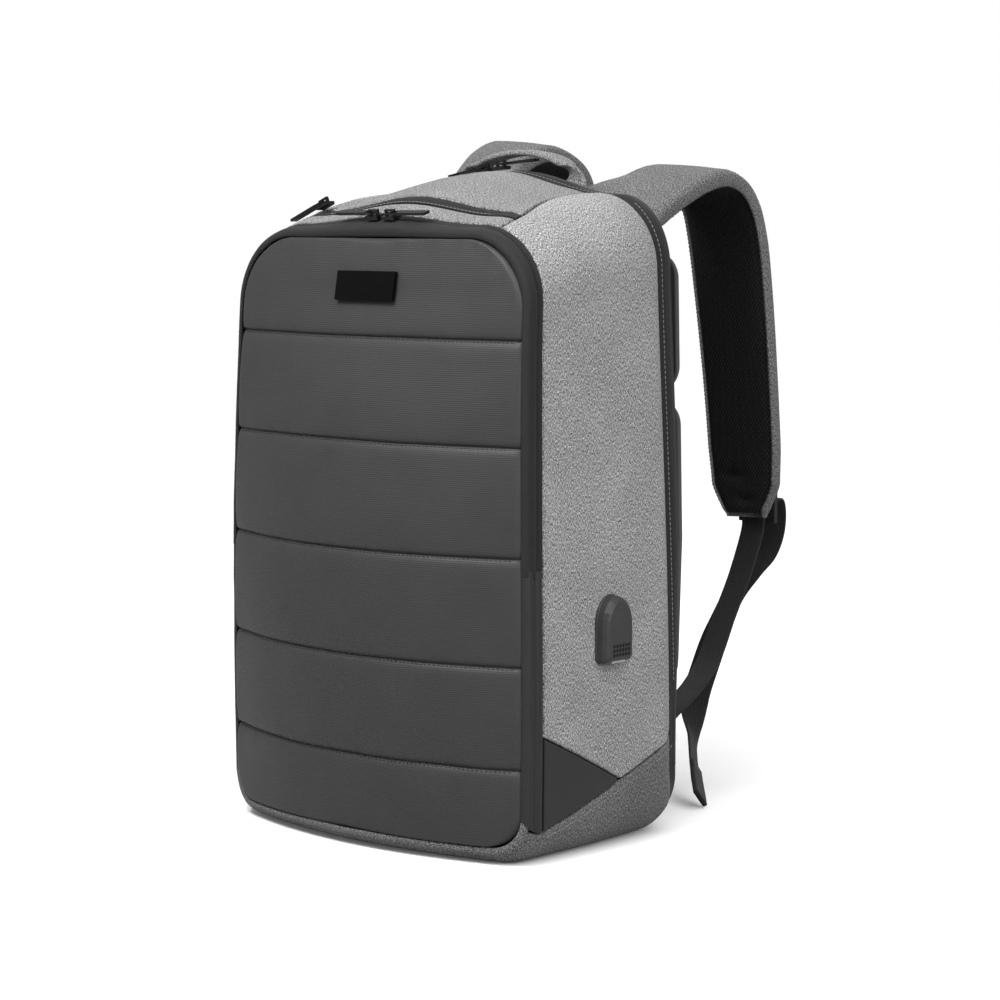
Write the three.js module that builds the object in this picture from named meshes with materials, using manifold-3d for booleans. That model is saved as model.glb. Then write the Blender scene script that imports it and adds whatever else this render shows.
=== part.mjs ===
// Laptop backpack with a clamshell main compartment, a quilted drop-front pocket, a top pocket and a
// hooded USB port on its right side. Millimetres, +Z up. The bag stands on its base: the origin is the
// centre of the flat base, the quilted front faces -Y, the wearer's back is on +Y.
import * as THREE from "three";
import Module from "manifold-3d";
import { mergeVertices } from "three/addons/utils/BufferGeometryUtils.js";

const wasm = await Module();
wasm.setup();

// ---------------------------------------------------------------- driving dimensions
const BACK_Y = 66; // rear edge of the grey shell, at half height
const LEAN = 0.03; // the back leans forward as it rises
const LEAN_Z = 200;
const FRONT_TOP = 408; // top edge of the quilted panel
const BACK_TOP = 434; // top corner height at the back
const BACK_CROWN = 16; // extra height in the middle of the back edge
const HALF_W_FRONT = 136;
const HALF_W_MID = 146.5;
const HALF_W_BACK = 143;
const CORNER_Z = 50;
const FLAP_Z = 188; // fold line of the drop-front flap
const HINGE_Z = 42; // fold line of the clamshell back panel
const SHELL_T = 3; // foam-backed fabric
const PANEL_T = 6; // quilted panel
const STRAP_T = 8; // strap foam and cover
const MESH_T = 4; // strap spacer mesh
const WEB_W = 20;
const WEB_T = 1.6;

// ---------------------------------------------------------------- colours
const mat = (hex, roughness, metalness = 0) =>
  new THREE.MeshStandardMaterial({ color: hex, roughness, metalness });
const HEATHER = mat(0x8a8a8a, 0.95);
const HEATHER_DARK = mat(0x6a6a6a, 0.95);
const COATED = mat(0x454545, 0.6);
const BAND = mat(0x2b2b2b, 0.8);
const COIL = mat(0x1a1a1a, 0.5);
const MESH = mat(0x131313, 0.95);
const WEBBING = mat(0x151515, 0.85);
const METAL = mat(0x1c1c1c, 0.3, 0.9);
const PLASTIC = mat(0x2e2e2e, 0.45);
const STEEL = mat(0xb0b0b0, 0.3, 1);
const BOARD = mat(0x202020, 0.7);
const LINING = mat(0x3a3a3a, 0.9);

const group = new THREE.Group();

// ---------------------------------------------------------------- helpers
const lerp = (a, b, t) => a + (b - a) * t;
const clamp = (v, a, b) => Math.min(b, Math.max(a, v));
const sub = (a, b) => [a[0] - b[0], a[1] - b[1], a[2] - b[2]];
const add = (a, b, k = 1) => [a[0] + k * b[0], a[1] + k * b[1], a[2] + k * b[2]];
const cross = (a, b) => [a[1] * b[2] - a[2] * b[1], a[2] * b[0] - a[0] * b[2], a[0] * b[1] - a[1] * b[0]];
const dot = (a, b) => a[0] * b[0] + a[1] * b[1] + a[2] * b[2];
const unit = (a) => {
  const l = Math.hypot(...a) || 1;
  return [a[0] / l, a[1] / l, a[2] / l];
};
function table(xs, ys, x) {
  if (x <= xs[0]) return ys[0];
  for (let i = 1; i < xs.length; i++)
    if (x <= xs[i]) {
      const t = (x - xs[i - 1]) / (xs[i] - xs[i - 1]);
      return lerp(ys[i - 1], ys[i], t * t * (3 - 2 * t) * 0.5 + t * 0.5);
    }
  return ys[ys.length - 1];
}
function geometryOf(verts, tris) {
  const g = new THREE.BufferGeometry();
  g.setAttribute("position", new THREE.BufferAttribute(new Float32Array(verts.flat()), 3));
  g.setIndex(tris);
  return g;
}
function volumeOf(v, t) {
  let s = 0;
  for (let i = 0; i < t.length; i += 3) s += dot(v[t[i]], cross(v[t[i + 1]], v[t[i + 2]]));
  return s / 6;
}
function put(name, geometry, material, parent = group) {
  const m = new THREE.Mesh(geometry, material);
  m.name = name;
  parent.add(m);
  return m;
}
// A slab between two grids of points, closed round its four edges.
function slab(outer, inner, na, nb) {
  const v = [],
    t = [];
  const id = (k, i, j) => (k * (na + 1) + i) * (nb + 1) + j;
  for (const f of [outer, inner])
    for (let i = 0; i <= na; i++) for (let j = 0; j <= nb; j++) v.push(f(i / na, j / nb));
  const quad = (a, b, c, d) => t.push(a, b, c, a, c, d);
  for (let i = 0; i < na; i++)
    for (let j = 0; j < nb; j++) {
      quad(id(0, i, j), id(0, i + 1, j), id(0, i + 1, j + 1), id(0, i, j + 1));
      quad(id(1, i, j), id(1, i, j + 1), id(1, i + 1, j + 1), id(1, i + 1, j));
    }
  for (let i = 0; i < na; i++) {
    quad(id(0, i, 0), id(1, i, 0), id(1, i + 1, 0), id(0, i + 1, 0));
    quad(id(0, i, nb), id(0, i + 1, nb), id(1, i + 1, nb), id(1, i, nb));
  }
  for (let j = 0; j < nb; j++) {
    quad(id(0, 0, j), id(0, 0, j + 1), id(1, 0, j + 1), id(1, 0, j));
    quad(id(0, na, j), id(1, na, j), id(1, na, j + 1), id(0, na, j + 1));
  }
  if (volumeOf(v, t) < 0) for (let i = 0; i < t.length; i += 3) [t[i + 1], t[i + 2]] = [t[i + 2], t[i + 1]];
  return geometryOf(v, t);
}
// A rectangle swept along centres, with a width direction along it.
function ribbon(points, widths, thick, sideAt, steps, offset = 0) {
  const curve = new THREE.CatmullRomCurve3(points.map((p) => new THREE.Vector3(...p)), false, "centripetal");
  const rings = [];
  for (let i = 0; i <= steps; i++) {
    const u = i / steps;
    const p = curve.getPointAt(u).toArray(),
      T = curve.getTangentAt(u).toArray();
    let W = sideAt(u);
    W = unit(add(W, T, -dot(W, T)));
    const N = unit(cross(T, W));
    const w = widths(u) / 2,
      h = thick / 2;
    const c = add(p, N, offset);
    rings.push([
      add(add(c, W, -w), N, -h),
      add(add(c, W, w), N, -h),
      add(add(c, W, w), N, h),
      add(add(c, W, -w), N, h),
    ]);
  }
  const v = rings.flat(),
    t = [];
  const quad = (a, b, c, d) => t.push(a, b, c, a, c, d);
  for (let i = 0; i < steps; i++)
    for (let k = 0; k < 4; k++) quad(4 * i + k, 4 * i + ((k + 1) % 4), 4 * (i + 1) + ((k + 1) % 4), 4 * (i + 1) + k);
  quad(3, 2, 1, 0);
  const e = 4 * steps;
  quad(e, e + 1, e + 2, e + 3);
  if (volumeOf(v, t) < 0) for (let i = 0; i < t.length; i += 3) [t[i + 1], t[i + 2]] = [t[i + 2], t[i + 1]];
  return geometryOf(v, t);
}
function solid(geometry) {
  const g = geometry.clone();
  g.deleteAttribute("normal");
  g.deleteAttribute("uv");
  const m = mergeVertices(g, 1e-4);
  return new wasm.Manifold(
    new wasm.Mesh({
      numProp: 3,
      vertProperties: new Float32Array(m.attributes.position.array),
      triVerts: new Uint32Array(m.index.array),
    }),
  );
}
function geo(s) {
  const m = s.getMesh(),
    n = m.numProp,
    v = new Float32Array(m.numVert * 3);
  for (let i = 0; i < m.numVert; i++) v.set(m.vertProperties.subarray(i * n, i * n + 3), i * 3);
  const g = new THREE.BufferGeometry();
  g.setAttribute("position", new THREE.BufferAttribute(v, 3));
  g.setIndex(new THREE.BufferAttribute(m.triVerts, 1));
  return g;
}
// behind the shell the bag draws in: how much narrower it is at height z, d behind the shell's edge
const drawIn = (z, d) => 1 - (lerp(0.8, 0.45, clamp((z - 60) / 140, 0, 1)) * Math.max(0, d)) / HALF_W_BACK;
// follow the lean of the back and draw in
const leaned = (g) => {
  const p = g.attributes.position;
  for (let i = 0; i < p.count; i++) {
    const [x, y, z] = [p.getX(i), p.getY(i), p.getZ(i)];
    p.setX(i, x * drawIn(z, y - BACK_Y));
    p.setY(i, y - LEAN * (z - LEAN_Z));
  }
  return g;
};
const box = (x0, x1, y0, y1, z0, z1) => {
  const g = new THREE.BoxGeometry(x1 - x0, y1 - y0, z1 - z0);
  g.translate((x0 + x1) / 2, (y0 + y1) / 2, (z0 + z1) / 2);
  return g;
};
const union = (...gs) => geo(gs.map(solid).reduce((a, b) => a.add(b)));
const cut = (g, ...tools) => geo(tools.map(solid).reduce((a, b) => a.subtract(b), solid(g)));
// A plate in an XZ plane between y0 and y1, from a list of [x, z] points.
function plateXZ(pts, y0, y1) {
  const shape = new THREE.Shape(pts.map(([x, z]) => new THREE.Vector2(x, z)));
  const g = new THREE.ExtrudeGeometry(shape, { depth: y1 - y0, bevelEnabled: false });
  g.rotateX(Math.PI / 2);
  g.translate(0, y1, 0);
  return g;
}

// ---------------------------------------------------------------- the bag's form
// The quilted front: y of the panel's face at x, z. It is bowed across and leans back near the top.
const leanAt = (z) => -78 + 9 * Math.pow(clamp((z - 180) / 230, 0, 1.05), 1.6);
const backY = (z) => BACK_Y - LEAN * (z - LEAN_Z);
const bowAt = (z) => table([0, 64, 131, 201, 272, 340, 373, 410], [27, 31, 33, 31, 25, 15, 9, 5], z);
const frontY = (x, z) => leanAt(z) - bowAt(z) * (1 - Math.min(1, (x / 136) ** 2));
// The section outline at depth s (0 front edge, 1 back edge). t runs 0 at the base centre, up the right
// side, to 1 at the top centre; t above 1 comes down the left side.
const T1 = 0.17,
  T2 = 0.24,
  T3 = 0.75,
  T4 = 0.86;
function section(s) {
  const wb = HALF_W_FRONT * (1 - s) ** 2 + 2 * s * (1 - s) * HALF_W_MID + HALF_W_BACK * s * s;
  const wt = 133 * (1 - s) ** 2 + 2 * s * (1 - s) * 138 + 138 * s * s;
  const cx = s < 0.3 ? lerp(50, 56, s / 0.3) : lerp(56, 44, (s - 0.3) / 0.7);
  const zb = s < 0.12 ? 9 * (1 - s / 0.12) ** 2 : s > 0.9 ? 6 * ((s - 0.9) / 0.1) ** 2 : 0;
  const rb = lerp(24, 34, s);
  const zt = FRONT_TOP + (BACK_TOP - FRONT_TOP) * (1 - (1 - s) ** 2.33);
  const crown = BACK_CROWN * Math.pow(Math.max(s, 0), 0.45);
  return { wb, wt, zb, rb, zt, crown, cx };
}
function outline(t, s) {
  const { wb, wt, zb, rb, zt, crown, cx } = section(s);
  if (t <= T1) return [((wb - rb) * t) / T1, zb];
  if (t <= T2) {
    const a = (((t - T1) / (T2 - T1)) * Math.PI) / 2;
    return [wb - rb + rb * Math.sin(a), zb + rb - rb * Math.cos(a)];
  }
  if (t <= T3) {
    const k = (t - T2) / (T3 - T2);
    return [lerp(wb, wt, k * k * (3 - 2 * k)) + 2 * Math.sin(Math.PI * k), lerp(zb + rb, zt - CORNER_Z, k)];
  }
  if (t <= T4) {
    const a = (((t - T3) / (T4 - T3)) * Math.PI) / 2;
    return [wt - cx + cx * Math.cos(a), zt - CORNER_Z + CORNER_Z * Math.sin(a)];
  }
  const xc = wt - cx,
    x = xc * (1 - (t - T4) / (1 - T4));
  return [x, zt + crown * 0.5 * (1 + Math.cos((Math.PI * x) / xc))];
}
function S(t, s) {
  let side = 1;
  if (t > 1) {
    t = 2 - t;
    side = -1;
  }
  if (t < 0) {
    t = -t;
    side = -1;
  }
  const sc = clamp(s, 0, 1);
  const [x, z] = outline(t, sc);
  const f = frontY(x, z);
  let y = f + (backY(z) - f) * sc;
  if (s > 1) y += (s - 1) * 100; // the band behind the shell
  if (s < 0) y += s * 100;
  return [side * x * drawIn(z, (s - 1) * 100), y, z];
}
function normalS(t, s) {
  const e = 1e-3;
  const a = sub(S(t + e, s), S(t - e, s)),
    b = sub(S(t, Math.min(s + e, 1.3)), S(t, s - e));
  let n = unit(cross(a, b));
  const p = S(t, s);
  if (n[0] * p[0] + n[2] * (p[2] - 215) < 0) n = [-n[0], -n[1], -n[2]];
  return n;
}
const off = (t, s, d) => add(S(t, s), normalS(t, s), -d);
// A piece of the sewn shell: map(a, b) gives [t, s]; d0 and d1 are depths below the outer face.
function sewn(map, na, nb, d0 = 0, d1 = SHELL_T) {
  return slab(
    (a, b) => off(...map(a, b), d0),
    (a, b) => off(...map(a, b), d1),
    na,
    nb,
  );
}
// t of the height z on the straight part of the side at depth s
const tOfZ = (z, s) => {
  const q = section(clamp(s, 0, 1));
  return T2 + ((z - q.zb - q.rb) / (q.zt - CORNER_Z - q.zb - q.rb)) * (T3 - T2);
};
const tSeam = (s) => 0.228 + 0.06 * s; // base panel's seam on the side
const tPatch = (s) => lerp(0.328, tSeam(0.6), clamp((s - 0.115) / (0.6 - 0.115), 0, 1)); // top of the corner patch
const tTop = (s) => 0.84 + 0.045 * clamp((s - 0.3) / 0.7, 0, 1); // side to top seam
const S0 = 0.112; // front edge of the grey shell
const ZIP_A = 0.238,
  ZIP_B = 0.308; // top pocket zip strip

const pick = (list, u) => list[Math.round(u * (list.length - 1))];
const DEPTHS = [0.115, 0.24, 0.34, 0.45, 0.56, 0.64, 0.75, 0.85, 0.9, 0.95, 0.998];

// ---------------------------------------------------------------- shell
{
  // base panel: flat on the ground, wraps up both sides to a rising seam
  const BASE_DEPTHS = [0.008, 0.03, 0.06, 0.088, ...DEPTHS];
  const map = (a, b) => {
    const s = pick(BASE_DEPTHS, b);
    const lim = tSeam(s) - 0.0008;
    const k = 2 * a - 1; // -1..1
    const q = Math.abs(k) < 0.4 ? (k / 0.4) * T1 : Math.sign(k) * lerp(T1, lim, (Math.abs(k) - 0.4) / 0.6);
    return [q, s];
  };
  put("base_panel", sewn(map, 16, BASE_DEPTHS.length - 1), HEATHER_DARK);
  for (const side of [1, -1]) {
    const name = side > 0 ? "right" : "left";
    const flip = (t) => (side > 0 ? t : 2 - t);
    const lo = (s) => Math.max(tSeam(s), tPatch(s)) + 0.0008;
    put(
      "side_panel_" + name,
      sewn(
        (a, b) => {
          const s = pick(DEPTHS, b);
          return [flip(lerp(lo(s), tTop(s) - 0.0008, a)), s];
        },
        16,
        DEPTHS.length - 1,
      ),
      HEATHER,
    );
    put(
      "corner_patch_" + name,
      sewn(
        (a, b) => {
          const s = pick(DEPTHS.slice(0, 5), b);
          return [flip(lerp(tSeam(s) + 0.0008, tPatch(s) - 0.0008, a)), s];
        },
        4,
        4,
        0,
        SHELL_T - 0.4,
      ),
      COATED,
    );
    // plain gusset below the front zip
    put(
      "front_gusset_" + name,
      sewn((a, b) => [flip(lerp(0.2425, tOfZ(FLAP_Z - 1.2, 0.05), a)), lerp(0.006, S0 - 0.003, b)], 10, 2, 0.8, 2.8),
      COATED,
    );
  }
  // top panels, either side of the top pocket zip
  put(
    "top_panel_front",
    sewn((a, b) => [lerp(0.8408, 1.1592, a), lerp(S0 + 0.003, ZIP_A - 0.003, b)], 16, 2),
    HEATHER,
  );
  put(
    "top_panel_rear",
    sewn(
      (a, b) => {
        const s = pick([ZIP_B + 0.003, ...DEPTHS.slice(2)], b);
        return [lerp(tTop(s) + 0.0008, 2 - tTop(s) - 0.0008, a), s];
      },
      12,
      DEPTHS.length - 2,
    ),
    HEATHER,
  );
  put("top_zip_tape", sewn((a, b) => [lerp(0.8408, 1.1592, a), lerp(ZIP_A, ZIP_B, b)], 16, 1, 0.4, 2.2), BAND);
  // front zip: the half that stays on the shell
  put(
    "front_zip_tape_shell",
    sewn(
      (a, b) => [lerp(tOfZ(FLAP_Z + 1.2, 0.09), 2 - tOfZ(FLAP_Z + 1.2, 0.09), a), lerp(0.078, S0 - 0.003, b)],
      36,
      1,
      0.8,
      2.8,
    ),
    BAND,
  );
  // main zip: the half that stays on the shell, a full ring open at the base centre
  put(
    "main_zip_tape_shell",
    sewn((a, b) => [lerp(0.16, 1.84, a), lerp(1.024, 1.086, b)], 44, 1, 0.6, 2.8),
    BAND,
  );
}

// ---------------------------------------------------------------- inner walls
function halfOutline(s, inset, z0, zTopCut = 1e9) {
  // closed polygon [x, z] of the section at s, moved in by inset, cut flat at z0
  const pts = [];
  const n = 40;
  for (let i = 0; i <= n; i++) {
    const t = i / n;
    const [x, z] = outline(t, s);
    const [x1, z1] = outline(Math.min(1, t + 1e-3), s);
    const [x2, z2] = outline(Math.max(0, t - 1e-3), s);
    let nx = z1 - z2,
      nz = -(x1 - x2);
    const l = Math.hypot(nx, nz) || 1;
    nx /= l;
    nz /= l;
    const px = x - nx * inset,
      pz = z - nz * inset;
    if (pz < z0 || pz > zTopCut) continue;
    pts.push([Math.max(px, 0), pz]);
  }
  const right = pts.filter((p) => p[0] > 0.5);
  // close along z0
  const first = right[0];
  const bottom = [first[0], z0];
  const all = [bottom, ...right];
  if (zTopCut < 1e8) all.push([right[right.length - 1][0], zTopCut]);
  const left = [...all].reverse().map(([x, z]) => [-x, z]);
  const out = [...all, ...left];
  return out.filter((p, i) => {
    const q = out[(i + 1) % out.length];
    return Math.hypot(p[0] - q[0], p[1] - q[1]) > 0.05;
  });
}
put("base_board", box(-102, 102, -64, 44, 3.6, 6), BOARD);
put("front_divider", plateXZ(halfOutline(0.13, 7, 8.5), -57, -54.5), LINING);
put("middle_divider", plateXZ(halfOutline(0.34, 6, 8.5), -30, -27.5), LINING);

// ---------------------------------------------------------------- quilted front
function halfWidthFront(z) {
  const { wb, wt, zb, rb, zt, cx } = section(0);
  if (z < zb + rb) return wb - rb + Math.sqrt(Math.max(0, rb * rb - (zb + rb - z) ** 2));
  if (z < zt - CORNER_Z) {
    const k = (z - zb - rb) / (zt - CORNER_Z - zb - rb);
    return lerp(wb, wt, k * k * (3 - 2 * k)) + 2 * Math.sin(Math.PI * k);
  }
  return wt - cx + cx * Math.sqrt(Math.max(0, 1 - ((z - zt + CORNER_Z) / CORNER_Z) ** 2));
}
const INSET = 3.5;
const panelHalf = (z) => halfWidthFront(9 + ((z - 9 - INSET) * (FRONT_TOP - 9)) / (FRONT_TOP - 9 - 2 * INSET)) - INSET;
function quilted(z0, z1, nz) {
  const p = (a, b, d) => {
    const zz = lerp(z0, z1, b);
    const x = panelHalf(zz) * (2 * a - 1);
    return [x, frontY(x, zz) + d, zz];
  };
  return slab(
    (a, b) => p(a, b, 0),
    (a, b) => p(a, b, PANEL_T),
    12,
    nz,
  );
}
put("front_panel_lower", quilted(9 + INSET, FLAP_Z - 0.8, 9), COATED);
{
  const z0 = FLAP_Z + 0.8,
    z1 = FRONT_TOP - INSET;
  const rows = [];
  for (let i = 0; i <= 6; i++) rows.push(lerp(z0, FRONT_TOP - CORNER_Z, i / 6));
  for (let i = 1; i <= 6; i++) rows.push(FRONT_TOP - CORNER_Z + (z1 - (FRONT_TOP - CORNER_Z)) * Math.sin((i / 6) * Math.PI * 0.5));
  const at = (a, b, d) => {
    const zz = rows[Math.round(b * (rows.length - 1))];
    const x = panelHalf(Math.min(zz, z1 - 0.01)) * (2 * a - 1);
    return [x, frontY(x, zz) + d, zz];
  };
  put(
    "front_flap_panel",
    slab(
      (a, b) => at(a, b, 0),
      (a, b) => at(a, b, PANEL_T),
      12,
      rows.length - 1,
    ),
    COATED,
  );
  put(
    "front_zip_tape_flap",
    sewn(
      (a, b) => [lerp(tOfZ(FLAP_Z + 1.2, 0.03), 2 - tOfZ(FLAP_Z + 1.2, 0.03), a), lerp(0.006, 0.07, b)],
      36,
      1,
      0.4,
      2.8,
    ),
    BAND,
  );
}
// badge plate: a blank metal plate glued to the flap
{
  const z = 373,
    slope = Math.atan2(frontY(0, 382) - frontY(0, 364), 18);
  const g = box(-26.5, 26.5, -1.3, 1.3, -9.8, 9.8);
  const m = put("badge_plate", g, METAL);
  m.rotation.x = -slope;
  m.position.set(0, frontY(0, z) - 1.95, z);
}

// ---------------------------------------------------------------- zip sliders and pullers
// Local frame: X along the zip towards the puller's free end, Y across, Z away from the bag.
const sliderGeo = () =>
  union(
    box(-5.5, 5.5, -4, 4, 0, 2.4),
    box(-4.2, -2.6, -1.1, 1.1, 2.2, 6.3),
    box(2.6, 4.2, -1.1, 1.1, 2.2, 6.3),
    box(-4.2, 4.2, -1.1, 1.1, 5.2, 6.3),
  );
const pullerGeo = () =>
  union(
    box(-0.7, 0.7, -3.4, 3.4, 3.3, 4.5),
    box(-0.7, 8, 2.2, 3.4, 3.3, 4.5),
    box(-0.7, 8, -3.4, -2.2, 3.3, 4.5),
    box(7, 33, -3, 3, 3.0, 4.8),
  );
function zipPull(name, pos, xdir, zdir) {
  const X = unit(xdir),
    Z0 = unit(zdir);
  const Z = unit(add(Z0, X, -dot(Z0, X)));
  const Y = cross(Z, X);
  const m = new THREE.Matrix4().makeBasis(new THREE.Vector3(...X), new THREE.Vector3(...Y), new THREE.Vector3(...Z));
  m.setPosition(...pos);
  for (const [suffix, g, material] of [
    ["_slider", sliderGeo(), METAL],
    ["_puller", pullerGeo(), METAL],
  ]) {
    const g2 = mergeVertices(g.applyMatrix4(m), 1e-4);
    put(name + suffix, g2, material);
  }
}
const FRONT_TILT = [0, -0.3, 0.954];
{
  // two on the front zip, meeting at the top
  const y = (x) => S(0.999, 0.06)[1] + 0 * x,
    z = S(0.999, 0.06)[2];
  zipPull("front_zip_left", [-7, y(-7), z + 1.4], [-1, 0, 0], FRONT_TILT);
  zipPull("front_zip_right", [8, y(8), z + 1.4], [1, 0, 0], FRONT_TILT);
  // one at the left end of the top pocket zip
  const R = 670,
    ym = S(0.999, 0.273)[1] + 1.5,
    zm = S(0.999, 0.273)[2];
  {
    // it sits where the top begins to fall away to the side, so it tilts with the cloth there
    const a = -84 / R,
      b = -0.4;
    zipPull("top_zip", [R * Math.sin(a), ym, zm - R + R * Math.cos(a) - 0.6], [-Math.cos(b), 0, Math.sin(b)], [Math.sin(b), 0, Math.cos(b)]);
  }
  // two on the main zip, at the top of the back
  const Rm = 150,
    zc = 450 + 1.3 - Rm;
  for (const [name, x0, dir] of [
    ["main_zip_left", -28, -1],
    ["main_zip_right", -13, 1],
  ]) {
    const a = Math.asin(x0 / Rm);
    zipPull(name, [Rm * Math.sin(a), 75.1 - LEAN * (450 - LEAN_Z), zc + Rm * Math.cos(a)], [dir * Math.cos(a), 0, -dir * Math.sin(a)], [Math.sin(a), 0, Math.cos(a)]);
  }
}

// ---------------------------------------------------------------- back panel (clamshell)
{
  put(
    "main_zip_tape_panel",
    sewn((a, b) => [lerp(tOfZ(HINGE_Z + 3, 1), 2 - tOfZ(HINGE_Z + 3, 1), a), lerp(1.096, 1.18, b)], 40, 1, 0.6, 2.8),
    BAND,
  );
  put("back_board", leaned(plateXZ(halfOutline(1, 6, HINGE_Z + 3), 77, 79.6)), BOARD);
  put("back_cover", leaned(plateXZ(halfOutline(1, 4.8, HINGE_Z + 3), 80, 84)), LINING);
  put("lower_back_cover", leaned(plateXZ(halfOutline(1, 3.6, 10, HINGE_Z + 1), 76, 80)), LINING);
  // laptop sleeve: a padded wall on a base and two side strips, open at the top, sewn to the back panel
  put(
    "laptop_sleeve",
    leaned(
      union(box(-127, 127, 42, 46, 56, 312), box(-127, 127, 45, 76, 56, 60), box(-127, -123.5, 45, 76, 59, 312), box(123.5, 127, 45, 76, 59, 312)),
    ),
    LINING,
  );
  // foam pads: crowned blocks
  const pad = (x0, x1, z0, z1, y0, t) =>
    slab(
      (a, b) => {
        const ca = Math.sin(Math.PI * a) ** 0.4,
          cb = Math.sin(Math.PI * b) ** 0.4;
        return [lerp(x0, x1, a), y0 + 3 + (t - 3) * ca * cb, lerp(z0, z1, b)];
      },
      (a, b) => [lerp(x0, x1, a), y0, lerp(z0, z1, b)],
      8,
      8,
    );
  put("back_pad_upper_right", leaned(pad(14, 142, 301, 394, 84.4, 14)), MESH);
  put("back_pad_upper_left", leaned(pad(-142, -14, 301, 394, 84.4, 14)), MESH);
  put("back_pad_lower_right", leaned(pad(14, 142, 96, 295, 84.4, 14)), MESH);
  put("back_pad_lower_left", leaned(pad(-142, -14, 96, 295, 84.4, 14)), MESH);
}

// ---------------------------------------------------------------- top handle
const HANDLE = [
  [-51, 79.3, 436],
  [-50.5, 79.4, 442],
  [-47, 80, 450],
  [-37, 80.5, 456.5],
  [-20, 80.8, 461],
  [-3, 81, 462.5],
  [14, 80.8, 461],
  [31, 80.5, 456.5],
  [41, 80, 450],
  [44.5, 79.4, 442],
  [45, 79.3, 436],
];
// the strip lies flat against the back at its ends and turns level over the top
const handleSide = (u) => {
  const k = clamp((Math.min(u, 1 - u) - 0.04) / 0.16, 0, 1);
  const a = (k * k * (3 - 2 * k) * Math.PI) / 2;
  return [Math.cos(a) * (u < 0.5 ? 1 : -1), Math.sin(a), 0];
};
put("top_handle", ribbon(HANDLE, () => 18, 3, (u) => (u < 0.5 ? handleSide(u) : add([0, 0, 0], handleSide(u))), 36), HEATHER);
// yoke: the fabric strip across the top of the back that the straps are sewn under
put(
  "strap_yoke",
  leaned(
    plateXZ(
      [
        [-126, 396],
        [126, 396],
        [123, 410],
        [112, 424],
        [92, 431],
        [60, 434],
        [-60, 434],
        [-92, 431],
        [-112, 424],
        [-123, 410],
      ],
      84.4,
      88.2,
    ),
  ),
  HEATHER,
);

// ---------------------------------------------------------------- shoulder straps
const STRAPS = {
  right: [
    [75, 91.5, 411],
    [75, 97.5, 419.5],
    [75, 113, 429.5],
    [75, 134, 438.5],
    [75, 155, 445],
    [75, 176, 446.5],
    [75.5, 194, 438.5],
    [76.5, 205, 424],
    [78, 211, 402],
    [80.5, 215, 365],
    [84, 218, 315],
    [87.5, 219.5, 265],
    [89.5, 220, 232],
    [90.5, 220, 201],
  ],
  left: [
    [-75, 91.5, 411],
    [-75, 97, 420],
    [-75, 107, 433],
    [-75, 121, 447],
    [-75, 139, 459.5],
    [-75.5, 160, 465.5],
    [-76, 181, 462],
    [-77, 199, 452],
    [-78, 209, 434],
    [-78, 213, 405],
    [-78, 213, 365],
    [-78.5, 210, 315],
    [-79, 207, 265],
    [-79.5, 204, 232],
    [-80, 203, 207],
  ],
};
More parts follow.
